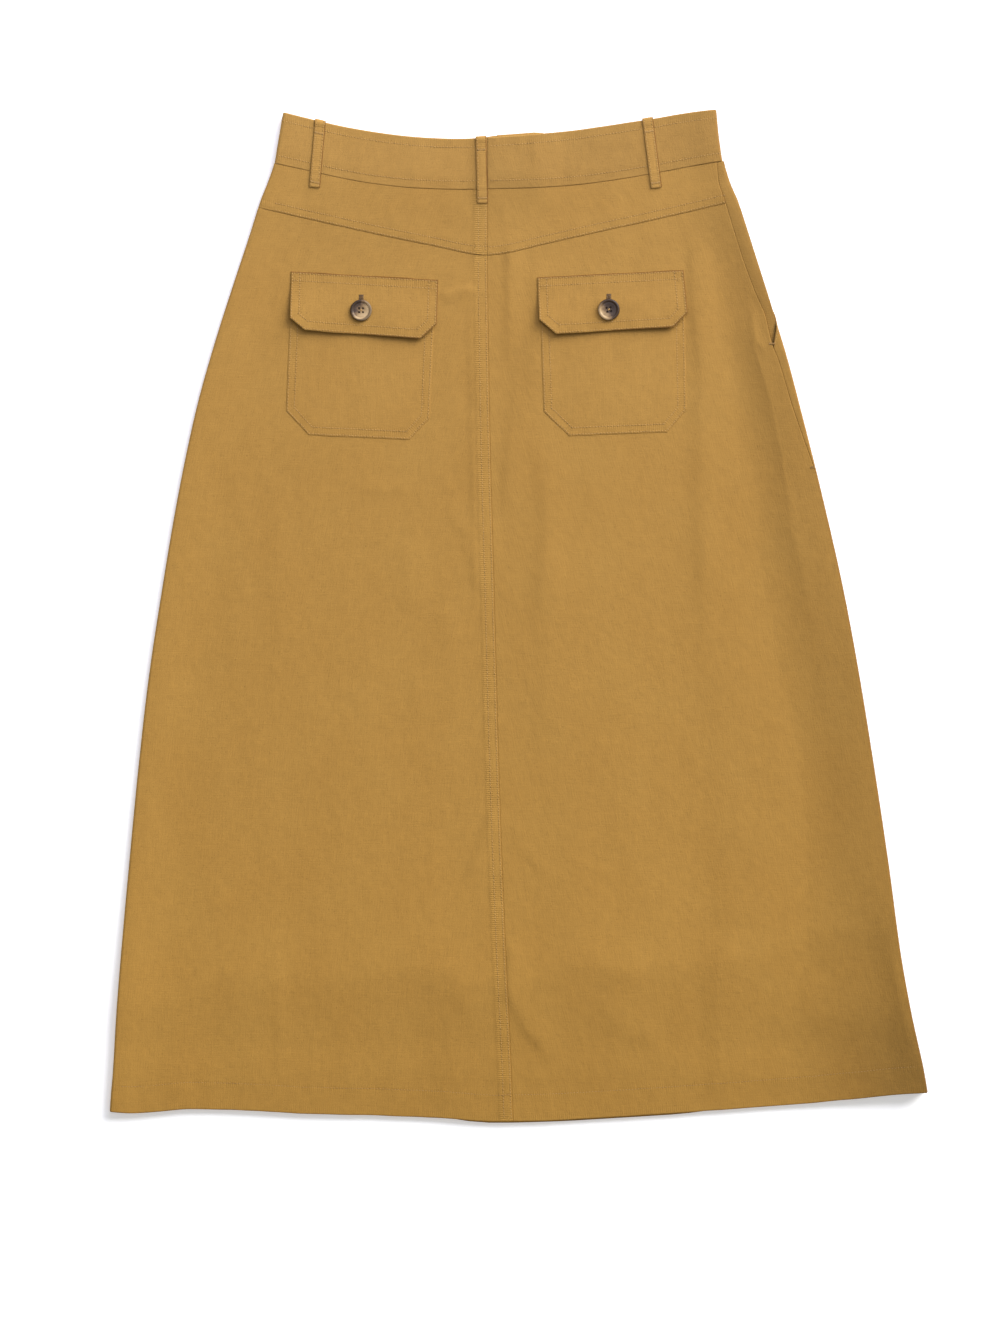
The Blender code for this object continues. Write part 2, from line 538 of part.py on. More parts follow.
def button(name, x, y, face, direction):
    """A turned button with a raised rim, a dished middle and four holes; `face` is its back's height
    and `direction` is +1 when its rim looks up."""
    radius = BUTTON_DIAMETER / 2
    profile = ((radius - 1.3, 0.0), (radius - 0.2, 0.8), (radius, 1.4), (radius - 0.5, 2.1),
               (radius - 1.4, BUTTON_WALL), (radius - 2.4, 2.1), (radius - 3.2, 1.6))
    sides = 24
    bm = bmesh.new()
    rings = [[bm.verts.new(((x + r * math.cos(a)) * MM, (y + r * math.sin(a)) * MM, (face + direction * h) * MM))
              for a in (2 * math.pi * k / sides for k in range(sides))] for r, h in profile]
    for p, q in zip(rings, rings[1:]):
        for k in range(sides):
            bm.faces.new((p[k], p[(k + 1) % sides], q[(k + 1) % sides], q[k]))
    bm.faces.new(rings[0])
    bm.faces.new(rings[-1])
    body = add_object(name, bm, HORN, 0.3)
    for n in range(4):
        turn = math.pi / 4 + n * math.pi / 2
        bpy.ops.mesh.primitive_cylinder_add(
            vertices=6, radius=BUTTON_HOLE / 2 * MM, depth=10 * MM,
            location=((x + 2.0 * math.cos(turn)) * MM, (y + 2.0 * math.sin(turn)) * MM, face * MM))
        cutter = bpy.context.object
        cutter.name = "%s_hole_%d" % (name, n)
        cutter.hide_render = True
        cutter.display_type = "WIRE"
        cut = body.modifiers.new("hole_%d" % n, "BOOLEAN")
        cut.operation = "DIFFERENCE"
        cut.object = cutter
    return body


for word, x, y in FLAP_BUTTONS:
    left, right = corners(FLAP, FLAP_COLUMNS, word)
    centre = (left[0][0] + right[0][0]) / 2
    seat = on_back(x, y) + LIE + CLOTH + 0.35 + ease(12, 49, 30) * 1.2 + FLAP_WALL + 0.45
    button("back_button_" + word, x, y, seat, 1)
button("front_button", -3.3, 379.0, BUTTON_WALL + 0.05, -1)


# ---------------------------------------------------------------- belt loops
def belt_loop(name, top_x, foot_x, foot_y, under_side):
    """A flat strip over the waistband: foot on the yoke or panel, head hooked over the top edge."""
    edge = front_top(top_x) if under_side else top_edge(top_x)
    seam = band_seam(foot_x)
    clear = 0.7 if under_side else 1.3

    def base(x, y):
        tube = BAND if y > seam else BODY
        return -tube.bottom(x, y) if under_side else tube.top(x, y)

    stations = ((foot_y, LIE), (seam - 6.0, LIE + 0.1), (seam - 1.5, BAND_RAISE * 0.7 + clear * 0.6),
                (seam + 4.0, BAND_RAISE + clear), ((seam + edge) / 2, BAND_RAISE + clear),
                (edge - 7.0, BAND_RAISE + clear), (edge - 2.0, BAND_RAISE + 0.9),
                (edge + 0.6, BAND_RAISE + 0.1), (edge + 0.8, BAND_RAISE - 1.1))
    length = edge - foot_y
    slant = (top_edge(top_x + 6) - top_edge(top_x - 6)) / 12
    line = []
    for y, lift in stations:
        x = foot_x + (top_x - foot_x) * (y - foot_y) / length
        line.append((x, y, base(x, min(y, edge - 1.0)) + lift))
    outer, inner = [], []
    for k, (x, y, z) in enumerate(line):
        before, after = line[max(k - 1, 0)], line[min(k + 1, len(line) - 1)]
        dy, dz = after[1] - before[1], after[2] - before[2]
        size = math.hypot(dy, dz)
        ny, nz = -dz / size, dy / size
        row_o, row_i = [], []
        for c in (-0.5, 0.0, 0.5):
            tilt = base(x + c * LOOP_WIDTH, min(y, edge - 1.0)) - base(x, min(y, edge - 1.0))
            px, py = x + c * LOOP_WIDTH, y + c * LOOP_WIDTH * slant
            row_i.append((px, py, z + tilt))
            row_o.append((px, py + ny * LOOP_WALL, z + nz * LOOP_WALL + tilt))
        outer.append(row_o)
        inner.append(row_i)
    if under_side:
        outer = [[(x, y, -z) for x, y, z in row] for row in outer]
        inner = [[(x, y, -z) for x, y, z in row] for row in inner]
    return walled_grid(name, outer, inner, TAN_BAND)


for word, top_x, foot_x, foot_y in BACK_LOOPS:
    belt_loop("belt_loop_back_" + word, top_x, foot_x, foot_y, False)
for word, top_x, foot_x, foot_y in FRONT_LOOPS:
    belt_loop("belt_loop_front_" + word, top_x, foot_x, foot_y, True)
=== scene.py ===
"""Looks of an a-line midi skirt in cotton twill, lying flat on its front with its back up.

Lengths are millimetres until a mesh is made. +X is the wearer's right, +Y the waist, +Z up; the
surface is Z = 0. The garment is a tube pressed flat: each cut piece is a thin closed shell laid on
that tube, its place across given as a girth from the fold it wraps round (plus on the top layer,
minus on the bottom layer) and its place along as Y.
"""

import math

import bpy
import numpy as np
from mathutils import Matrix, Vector


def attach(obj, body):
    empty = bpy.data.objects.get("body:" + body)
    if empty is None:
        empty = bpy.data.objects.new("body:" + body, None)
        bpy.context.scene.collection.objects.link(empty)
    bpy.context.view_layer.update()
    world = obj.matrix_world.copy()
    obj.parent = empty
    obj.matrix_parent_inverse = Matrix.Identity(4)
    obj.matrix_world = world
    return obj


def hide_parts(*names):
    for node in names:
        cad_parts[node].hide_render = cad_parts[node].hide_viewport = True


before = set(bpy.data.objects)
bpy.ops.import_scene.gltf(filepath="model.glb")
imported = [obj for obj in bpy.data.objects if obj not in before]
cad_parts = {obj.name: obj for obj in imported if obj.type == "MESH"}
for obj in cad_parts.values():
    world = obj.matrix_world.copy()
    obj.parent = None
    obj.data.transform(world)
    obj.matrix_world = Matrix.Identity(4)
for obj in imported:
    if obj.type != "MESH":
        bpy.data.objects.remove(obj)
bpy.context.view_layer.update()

# ---------------------------------------------------------------- driving sizes (mm)
MM = 0.001
SEAM_GAP = 0.06
HALF_GAP = SEAM_GAP / 2
CLOTH = 0.9             # wall of a single panel
HEM_WALL = 1.6
HEM_DEPTH = 24.0
BAND_WALL = 1.8
BAND_RAISE = 0.6
FLAP_WALL = 1.05
POCKET_WALL = 0.36
LOOP_WIDTH = 9.0
LOOP_WALL = 0.8
FOLD_RADIUS = 1.7
FELL_WIDTH = 11.0
FELL_RAISE = 0.22
YOKE_RAISE = 0.26
BUTTON_DIAMETER = 18.0
BUTTON_WALL = 2.4
BUTTON_HOLE = 1.8
HOLE_AT = 2.3           # a button's holes lie this far from its middle
FACING_INSET = 1.3
TAB_END = 11.3
UNDERLAP_END = -18.0
TAB_LIFT = 2.1
STITCH_PITCH = 2.55     # one stitch and the gap after it
STITCH_LENGTH = 1.9
STITCH_RADIUS = 0.24

# ---------------------------------------------------------------- outline and seam tables (mm)
OUTLINE_COLUMNS = ("y", "left", "right")
OUTLINE = (
    (-430.0, -341.0, 343.8), (-412.0, -340.4, 342.2), (-378.8, -337.9, 337.1), (-328.8, -334.9, 326.4),
    (-278.8, -331.0, 317.4), (-203.8, -324.3, 307.4), (-128.8, -317.1, 296.4), (-53.8, -308.6, 284.4),
    (21.2, -297.3, 270.6), (96.2, -284.6, 253.8), (171.2, -268.9, 235.1), (221.2, -255.2, 221.8),
    (271.2, -239.4, 206.0), (321.2, -222.9, 190.2), (346.2, -214.9, 181.8), (362.0, -208.6, 175.0),
    (378.0, -203.4, 170.2), (397.9, -199.8, 166.8), (423.0, -195.6, 164.4),
)
TOP_EDGE_COLUMNS = ("x", "y")
TOP_EDGE = (
    (-215.0, 425.0), (-197.1, 419.6), (-173.8, 413.8), (-140.4, 406.4), (-107.1, 401.2), (-73.8, 398.0),
    (-50.0, 397.4), (-26.2, 398.2), (9.6, 400.6), (42.9, 404.0), (76.2, 408.6), (109.6, 413.8),
    (142.9, 419.0), (165.4, 421.4), (180.0, 422.4),
)
BAND_SEAM_COLUMNS = ("x", "y")
BAND_SEAM = (
    (-220.0, 380.6), (-202.9, 376.7), (-173.8, 370.4), (-148.8, 364.8), (-120.0, 359.8), (-86.2, 356.3),
    (-48.8, 355.1), (-26.2, 355.3), (13.8, 356.4), (51.2, 359.2), (76.2, 362.4), (101.2, 366.4),
    (126.2, 371.0), (151.2, 375.6), (169.6, 378.3), (185.0, 380.2),
)
YOKE_SEAM_COLUMNS = ("x", "y")
YOKE_SEAM = (
    (-230.0, 343.0), (-217.1, 340.0), (-188.8, 333.6), (-151.2, 325.2), (-113.8, 317.0), (-76.2, 309.4),
    (-26.2, 300.6), (23.8, 310.2), (61.2, 318.6), (98.8, 326.8), (136.2, 335.2), (170.4, 342.9),
    (190.0, 347.0),
)
HEM_COLUMNS = ("x", "y")
HEM = (
    (-342.0, -412.4), (-323.8, -413.8), (-300.0, -412.4), (-273.8, -410.4), (-240.4, -411.0),
    (-190.4, -413.6), (-107.1, -416.2), (-57.1, -418.2), (-20.0, -420.8), (26.2, -419.8), (76.2, -417.1),
    (142.9, -412.9), (209.6, -408.0), (276.2, -402.0), (300.0, -399.3), (343.0, -395.4),
)
CENTRE_BACK_COLUMNS = ("y", "x")
CENTRE_BACK = (
    (-430.0, -4.4), (-362.0, -7.0), (-304.0, -9.8), (-216.0, -13.6), (-129.0, -16.6), (-41.0, -19.0),
    (46.0, -21.3), (134.0, -23.7), (221.0, -25.3), (301.0, -26.2), (430.0, -26.2),
)
CENTRE_FRONT_COLUMNS = ("y", "x")
CENTRE_FRONT = ((-430.0, 5.0), (0.0, 0.5), (430.0, -4.0))
SIDE_SEAM_COLUMNS = ("y", "left", "right")      # girth from the fold
SIDE_SEAM = (
    (-430.0, -19.5, -11.8), (-200.0, -15.5, -9.8), (-60.0, -12.5, -7.3), (20.0, -11.5, -4.0),
    (75.0, -11.5, 0.0), (105.0, -11.5, 3.3), (125.0, -11.5, 5.7), (145.0, -11.5, 8.0),
    (161.0, -11.6, 9.6), (178.0, -11.8, 11.0), (213.0, -12.0, 12.3), (225.4, -12.2, 13.5),
    (244.6, -12.5, 12.4), (273.0, -12.8, 15.4), (302.0, -13.2, 16.3), (321.0, -13.5, 16.0),
    (343.0, -13.5, 15.3), (356.0, -13.5, 14.0), (380.0, -13.5, 9.3), (430.0, -13.5, 8.0),
)
BAND_SIDE_SEAM = {-1: -13.5, 1: -11.5}
MOUTH_COLUMNS = ("y", "left", "right")          # girth from the fold
MOUTH_FOOT = 224.0
MOUTH = ((224.0, -12.2, 13.4), (236.0, -14.8, 7.5), (249.6, -18.0, 0.5), (262.0, -21.0, -5.8),
         (280.0, -26.0, -14.5), (300.0, -31.0, -22.5), (345.0, -42.0, -37.0), (385.0, -52.0, -47.0))
MOUTH_UNDER = 11.0
# The right side climbs towards its fold. Distances are inwards from the fold: where the climb starts,
# where it turns flatter, how it steepens between, its height there and what it gains after.
SHELF_COLUMNS = ("y", "start", "crest", "power", "height", "after")
SHELF = (
    (-430.0, 112.0, 24.0, 1.35, 5.8, 2.6), (-354.0, 105.0, 24.0, 1.35, 5.3, 2.5), (-300.0, 88.0, 24.0, 1.35, 4.6, 2.8),
    (-237.0, 72.0, 28.0, 1.3, 4.6, 3.9), (-160.0, 64.0, 32.0, 1.35, 3.3, 3.6), (-100.0, 62.0, 33.0, 1.4, 2.8, 3.3),
    (-37.0, 66.0, 31.0, 1.45, 3.6, 3.0), (20.0, 65.0, 31.0, 1.55, 3.8, 2.3), (70.0, 65.0, 32.0, 1.8, 3.6, 1.7),
    (100.0, 62.0, 29.0, 1.9, 3.6, 1.5), (140.0, 58.0, 26.0, 1.9, 3.7, 1.7), (180.0, 55.0, 24.0, 2.0, 3.9, 1.7),
    (221.0, 52.0, 25.0, 2.0, 3.4, 2.0), (262.0, 45.0, 20.0, 1.6, 2.4, 2.0), (300.0, 38.0, 14.0, 1.4, 1.6, 1.1),
    (346.0, 44.0, 10.0, 1.2, 1.2, 0.4), (362.0, 44.0, 10.0, 1.2, 0.5, 0.2),
)
# The crest of the pressed crease that runs across above the hem.
FOLD_LINE = ((-340.0, -330.0), (-290.0, -322.0), (-240.0, -302.0), (-190.0, -307.0), (-140.0, -303.0),
             (-90.0, -295.0), (-49.0, -304.0), (10.0, -309.0), (43.0, -291.0), (85.0, -295.0), (135.0, -294.0),
             (185.0, -283.0), (226.0, -275.0), (268.0, -262.0), (330.0, -258.0))
LINE_HEIGHT = 3.8
FLAP_COLUMNS = ("corner", "left_x", "left_y", "right_x", "right_y")
FLAP = (
    ("top_left", -189.6, 287.1, 15.4, 282.1), ("side_left", -190.4, 248.3, 16.9, 246.6),
    ("cut_left", -178.3, 237.9, 31.0, 234.6), ("top_right", -67.1, 280.0, 137.1, 288.3),
    ("side_right", -68.3, 242.9, 140.4, 252.5), ("cut_right", -81.7, 230.7, 128.5, 240.4),
)
POCKET_COLUMNS = ("corner", "left_x", "left_y", "right_x", "right_y")
POCKET = (
    ("top_left", -189.4, 274.4, 17.4, 269.4), ("side_left", -193.8, 171.2, 20.7, 170.4),
    ("cut_left", -174.8, 150.8, 42.1, 150.0), ("top_right", -69.6, 267.2, 137.6, 275.2),
    ("side_right", -74.2, 164.6, 139.6, 171.7), ("cut_right", -90.8, 146.9, 123.8, 153.3),
)
FLAP_BUTTONS = (("left", -131.1, 254.4), ("right", 74.9, 254.9))
BACK_LOOPS = (("left", -165.0, -169.8, 356.8), ("centre", -31.4, -30.0, 343.6), ("right", 107.2, 114.6, 356.3))
FRONT_LOOPS = (("left", -100.0, -104.0, 347.0), ("right", 76.0, 79.0, 349.0))

# Soft creases of the back. Each runs along a path of (x, y) points, where its steep flank is; the
# cloth rises from that flank by `height` and falls away again over `far`. `near` is the flank's width.
CREASE_COLUMNS = ("near", "far", "height", "path")
CREASES = (
    # the pressed crease down the right half, and what crosses it near the hem
    (11.0, 34.0, 0.95, ((144, 345), (145, 250), (146, 150), (148, 46), (152, -40))),
    (20.0, 46.0, 0.8, ((150, 10), (158, -70), (166, -150), (167, -230), (165, -290))),
    (12.0, 40.0, 0.7, ((160, -262), (159, -330), (160, -410))),
    (14.0, 30.0, 0.35, ((205, -346), (262, -344), (318, -338))),
    # beside the centre back seam
    (5.0, 12.0, 0.75, ((-10, 322), (-11, 270), (-10, 205))),
    (9.0, 16.0, 0.8, ((8, 165), (17, 105), (18, 50), (8, -10))),
    (7.0, 14.0, 0.7, ((11, 300), (12, 250), (5, 185))),
    (5.0, 14.0, 0.55, ((-2, 210), (-9, 150), (-16, 80))),
    (3.5, 18.0, 0.45, ((-42, 265), (-40, 130), (-37, 0))),
    (12.0, 24.0, 0.6, ((14, 70), (20, 0), (16, -60), (10, -110))),
    (2.5, 7.0, 0.7, ((-36, 276), (-51, 273), (-67, 268))),
    (4.0, 9.0, 0.25, ((-64, 95), (-52, 74), (-38, 60))),
    (4.0, 8.0, 0.35, ((-50, 66), (-40, 44), (-38, 20))),
    (9.0, 10.0, 0.45, ((-98, 66), (-96, 30), (-90, 0))),
    (6.0, 9.0, 0.25, ((-68, 8), (-62, -25))),
    (8.0, 12.0, 0.2, ((-92, -42), (-88, -90))),
    (4.0, 9.0, 0.55, ((-22, -158), (-31, -185), (-46, -218))),
    (4.0, 17.0, 0.55, ((142, 318), (143, 270), (146, 236), (151, 190))),
    (5.0, 10.0, 0.35, ((62, 285), (64, 262), (63, 232))),
    (2.6, 8.0, 0.2, ((-9, -168), (1, -195), (18, -214), (40, -228))),
    (2.2, 6.0, 0.12, ((48, -214), (60, -211), (84, -220))),
    (4.5, 15.0, 0.8, ((-10, -262), (-10, -315), (2, -342), (29, -374))),
    (9.0, 8.0, 0.3, ((-62, -286), (-50, -334))),
    (14.0, 16.0, 0.42, ((44, -288), (68, -301), (108, -309))),
    (8.0, 14.0, 0.35, ((60, -320), (90, -350), (112, -362))),
    (8.0, 12.0, 0.2, ((161, -272), (182, -294))),
    (10.0, 17.0, 0.35, ((236, -298), (240, -342))),
    # on the right
    (8.0, 10.0, 0.5, ((300, -258), (311, -318), (326, -374))),
    (5.0, 8.0, 0.2, ((97, -128), (88, -160), (73, -192))),
    (5.0, 8.0, 0.2, ((184, -138), (177, -196))),
    (8.0, 12.0, 0.2, ((127, -318), (132, -392))),
    (7.0, 9.0, 0.2, ((99, -343), (120, -380))),
    (2.2, 3.0, 0.3, ((192.1, 262), (193.5, 245), (195.9, 227.9), (204.3, 219.6), (211.7, 226.2))),
    # on the left
    (9.0, 12.0, 0.2, ((-244, 152), (-240, 40), (-244, -104))),
    (8.0, 10.0, 0.16, ((-207, 105), (-204, -32))),
    (4.0, 6.0, 0.2, ((-204, -268), (-202, -398))),
    (5.0, 8.0, 0.18, ((-150, -330), (-146, -400))),
    (3.5, 8.0, 0.32, ((-137, 103), (-88, 102))),
    (6.0, 9.0, 0.16, ((-158, -60), (-120, -78))),
    (7.0, 10.0, 0.18, ((-262, -180), (-256, -250))),
    # on the yoke and the waistband
    (3.0, 5.0, 0.22, ((-19, 347), (-12, 324))),
    (3.0, 6.0, 0.18, ((-112, 345), (-106, 322))),
    (2.5, 4.5, 0.25, ((-4, 402), (1, 384))),
    (2.5, 4.5, 0.25, ((8, 399), (13, 378))),
    (3.0, 6.0, 0.2, ((24, 398), (26, 384))),
    (5.0, 8.0, 0.28, ((56, 390), (98, 394))),
)
# Creases of the front, which lies on the surface: low lifted lines.
FRONT_CREASES = (
    (14.0, 22.0, 0.45, ((-120, 250), (-132, 60), (-150, -120))),
    (16.0, 26.0, 0.5, ((60, 180), (78, 0), (84, -190))),
    (12.0, 18.0, 0.35, ((-30, -90), (-52, -230), (-40, -340))),
    (10.0, 16.0, 0.35, ((140, -110), (168, -250))),
    (12.0, 15.0, 0.3, ((-230, -150), (-244, -300))),
    (14.0, 22.0, 0.4, ((-280, -276), (-90, -280), (40, -272), (250, -262))),
)


# ---------------------------------------------------------------- curves and noise
def column(table, columns, name):
    k = columns.index(name)
    return [row[k] for row in table]


class Curve:
    """A monotone cubic through the points, flat beyond its ends. It takes arrays."""

    def __init__(self, xs, ys):
        xs, ys = np.asarray(xs, float), np.asarray(ys, float)
        step = np.diff(xs)
        slope = np.diff(ys) / step
        m = np.zeros(len(xs))
        for i in range(1, len(xs) - 1):
            if slope[i - 1] * slope[i] > 0:
                w1, w2 = 2 * step[i] + step[i - 1], step[i] + 2 * step[i - 1]
                m[i] = (w1 + w2) / (w1 / slope[i - 1] + w2 / slope[i])
        m[0], m[-1] = slope[0], slope[-1]
        self.xs, self.ys, self.step, self.m = xs, ys, step, m

    def __call__(self, x):
        x = np.clip(x, self.xs[0], self.xs[-1])
        i = np.clip(np.searchsorted(self.xs, x, side="right") - 1, 0, len(self.step) - 1)
        t = (x - self.xs[i]) / self.step[i]
        return ((2 * t**3 - 3 * t**2 + 1) * self.ys[i] + (t**3 - 2 * t**2 + t) * self.step[i] * self.m[i]
                + (3 * t**2 - 2 * t**3) * self.ys[i + 1] + (t**3 - t**2) * self.step[i] * self.m[i + 1])


def from_table(table, columns, across, along):
    return Curve(column(table, columns, across), column(table, columns, along))


def ease(a, b, x):
    """0 at a, 1 at b, smooth between."""
    t = np.clip((x - a) / (b - a), 0.0, 1.0)
    return t * t * (3 - 2 * t)


def noise2(x, y, size_x, size_y, seed):
    """Smooth noise from -1 to 1 with features of about the given size."""
    n = 64
    grid = np.random.default_rng(seed).uniform(-1, 1, (n, n))
    u, v = np.asarray(x) / size_x + 31.7, np.asarray(y) / size_y + 17.3
    i, j = np.floor(u).astype(int), np.floor(v).astype(int)
    fu, fv = u - i, v - j
    fu, fv = fu * fu * (3 - 2 * fu), fv * fv * (3 - 2 * fv)
    a, b = grid[i % n, j % n], grid[(i + 1) % n, j % n]
    c, d = grid[i % n, (j + 1) % n], grid[(i + 1) % n, (j + 1) % n]
    return (a * (1 - fu) + b * fu) * (1 - fv) + (c * (1 - fu) + d * fu) * fv


def noise1(s, size, seed):
    return noise2(s, np.zeros_like(np.asarray(s, float)) + seed * 3.1, size, 1.0, 400 + seed)


def creases(table, x, y):
    """Height of the creases at the points."""
    total = np.zeros(np.shape(x))
    for n, (near, far, height, path) in enumerate(table):
        pts = np.asarray(path, float)
        seg = np.diff(pts, axis=0)
        length = np.hypot(seg[:, 0], seg[:, 1])
        run = np.concatenate([[0], np.cumsum(length)])
        best = np.full(np.shape(x), 1e9)
        side = np.zeros(np.shape(x))
        along = np.zeros(np.shape(x))
        for k in range(len(seg)):
            rx, ry = x - pts[k, 0], y - pts[k, 1]
            t = (rx * seg[k, 0] + ry * seg[k, 1]) / length[k] ** 2
            if k > 0:
                t = np.maximum(t, 0)
            if k < len(seg) - 1:
                t = np.minimum(t, 1)
            dx, dy = rx - t * seg[k, 0], ry - t * seg[k, 1]
            d = np.hypot(dx, dy)
            cross = (seg[k, 0] * ry - seg[k, 1] * rx) / length[k]
            closer = d < best
            best = np.where(closer, d, best)
            side = np.where(closer, np.sign(cross) * d, side)
            along = np.where(closer, run[k] + t * length[k], along)
        share = along / run[-1]
        uneven = 1 + 0.28 * noise1(along, 31.0, n) * (run[-1] > 60)
        s = side - 0.7 * near
        reach = np.where(s > 0, far, near) * (1 + 0.15 * noise1(along, 47.0, n + 50))
        fade = ease(-0.04, 0.22, share) * (1 - ease(0.78, 1.04, share))
        total += height * uneven * fade * np.exp(-(s / reach) ** 2)
    return total


outline_left = from_table(OUTLINE, OUTLINE_COLUMNS, "y", "left")
outline_right = from_table(OUTLINE, OUTLINE_COLUMNS, "y", "right")
top_edge = from_table(TOP_EDGE, TOP_EDGE_COLUMNS, "x", "y")
band_seam = from_table(BAND_SEAM, BAND_SEAM_COLUMNS, "x", "y")
yoke_seam = from_table(YOKE_SEAM, YOKE_SEAM_COLUMNS, "x", "y")
hem = from_table(HEM, HEM_COLUMNS, "x", "y")
centre_back = from_table(CENTRE_BACK, CENTRE_BACK_COLUMNS, "y", "x")
centre_front = from_table(CENTRE_FRONT, CENTRE_FRONT_COLUMNS, "y", "x")
side_seam = {-1: from_table(SIDE_SEAM, SIDE_SEAM_COLUMNS, "y", "left"),
             1: from_table(SIDE_SEAM, SIDE_SEAM_COLUMNS, "y", "right")}
mouth = {-1: from_table(MOUTH, MOUTH_COLUMNS, "y", "left"), 1: from_table(MOUTH, MOUTH_COLUMNS, "y", "right")}
shelf = {name: from_table(SHELF, SHELF_COLUMNS, "y", name) for name in SHELF_COLUMNS[1:]}
fold_line = Curve(*zip(*FOLD_LINE))


def climb(from_right, y):
    """How much higher the right side is, towards its fold."""
    start, crest, power, height, after = (shelf[name](y) for name in SHELF_COLUMNS[1:])
    t = np.clip((start - from_right) / (start - crest), 0, 1)
    return height * t**power + after * np.clip((crest - from_right) / (crest - 2), 0, 1)


def pressed_line(x, y):
    """The crease across above the hem: a crest with a long slope above it and an even one down to the hem."""
    s = y - fold_line(x) - 3 * noise1(x, 29.0, 61)
    d = np.sqrt(s * s + 40) - 6.3
    return (LINE_HEIGHT + 0.6 * noise1(x, 70.0, 60)) * np.where(s > 0, np.exp(-d / 85), 1 - np.minimum(d, 118) / 125)


def painted_shade(from_right, x, y):
    """Painted shade: the cloth is drawn a little darker below the crease across
    above the hem, and towards the right fold and its lower corner."""
    below = 1 - ease(-9, 12, y - fold_line(x) - 3 * noise1(x, 29.0, 61))
    return (-0.004 * below * ease(4, 40, x - outline_left(y))
            - 0.045 * (1 - ease(16, 62, from_right)) * (1 - ease(300, 352, y))
            - 0.095 * (1 - ease(8, 80, from_right)) * (1 - ease(-350, -262, y))
            - 0.170 * (1 - ease(10, 150, from_right)) * (1 - ease(-385, -300, y)))


# ---------------------------------------------------------------- the flattened tube
class Tube:
    def __init__(self, inset_left, inset_right):
        self.inset_left, self.inset_right = inset_left, inset_right

    def fold(self, side, y):
        return (outline_left(y) + self.inset_left(y)) if side < 0 else (outline_right(y) - self.inset_right(y))

    def bottom(self, x, y):
        from_fold = np.minimum(x - self.fold(-1, y), self.fold(1, y) - x)
        near_fold = 1 - ease(56, 86, from_fold)
        lifted = creases(FRONT_CREASES, x, y) * ease(10, 60, from_fold) * (1 - ease(270, 320, y))
        return ease(296, 366, y) * (3.6 - 1.6 * near_fold) + lifted

    def top(self, x, y):
        from_left, from_right = x - self.fold(-1, y), self.fold(1, y) - x
        waist = ease(290, 368, y)
        z = 3.4 + 0.9 * ease(40, 240, y) + 2.1 * waist
        z = z + 0.9 * ease(-404, -340, y) * np.exp(-((x - 60) / 70) ** 2) * (1 - waist)
        z += 0.9 * ease(-350, -386, y)
        z += (1.7 - 0.5 * waist) * np.exp(-(np.maximum(from_left - FOLD_RADIUS, 0) / 26) ** 2)
        z += (0.3 + 1.7 * ease(235, 300, y)) * np.exp(-(np.maximum(from_right - FOLD_RADIUS, 0) / 20) ** 2)
        z += climb(from_right, y)
        z += 0.9 * ease(150, 335, x) * (1 - ease(-340, -250, y))
        z += TAB_LIFT * ease(330, 372, y) * ease(-44, -19, x) * (1 - ease(13, 40, x))
        # what the coarse form leaves out: creases, and the unevenness of washed cotton
        edge = np.minimum(from_left, from_right)
        z += pressed_line(x, y) * ease(-70, 4, from_left)
        z += creases(CREASES, x, y) * ease(0, 9, edge)
        z += ease(2, 14, edge) * (0.17 * noise2(x, y, 34, 95, 1) + 0.11 * noise2(x, y, 15, 38, 2)
                                  + 0.045 * noise2(x, y, 8, 12, 3))
        return z

    def quarter(self, side, y):
        x = self.fold(side, y) - side * FOLD_RADIUS
        high, low = self.top(x, y), self.bottom(x, y)
        half = (high - low) / 2
        a, b = FOLD_RADIUS, half
        return (high + low) / 2, half, math.pi * (3 * (a + b) - np.sqrt((3 * a + b) * (a + 3 * b))) / 4

    def girth(self, side, distance, y):
        q = self.quarter(side, y)[2]
        d = np.abs(distance)
        g = np.where(d >= FOLD_RADIUS, q + d - FOLD_RADIUS,
                     q * np.arccos(np.clip(1 - d / FOLD_RADIUS, -1, 1)) / (math.pi / 2))
        return np.copysign(g, distance)

    def across(self, side, g, y, out, q):
        """X only, for a known quarter turn q."""
        fold = self.fold(side, y)
        turn = np.clip(g / q, -1, 1) * math.pi / 2
        return np.where(np.abs(g) <= q,
                        fold - side * FOLD_RADIUS + side * (FOLD_RADIUS + out) * np.cos(turn),
                        fold - side * (FOLD_RADIUS + np.abs(g) - q))

    def point(self, side, g, y, out):
        middle, half, q = self.quarter(side, y)
        x = self.across(side, g, y, out, q)
        turn = np.clip(g / q, -1, 1) * math.pi / 2
        z = np.where(np.abs(g) <= q, middle + (half + out) * np.sin(turn),
                     np.where(g > 0, self.top(x, y) + out, self.bottom(x, y) - out))
        return np.stack([x, y + np.zeros_like(x), z], -1)


class QuarterCache(Tube):
    """The same tube with the quarter turn read from a fine table along Y, which is much quicker."""

    def __init__(self, *insets):
        super().__init__(*insets)
        self.ys = np.arange(-432.0, 432.0, 1.0)
        self.table = {s: Tube.quarter(self, s, self.ys) for s in (-1, 1)}

    def quarter(self, side, y):
        return tuple(np.interp(y, self.ys, t) for t in self.table[side])


BODY = QuarterCache(lambda y: 0.0 * y, lambda y: -1.3 * ease(238, 256, y))
BAND = QuarterCache(lambda y: BAND_RAISE + 0.0 * y, lambda y: BAND_RAISE + 0.0 * y)


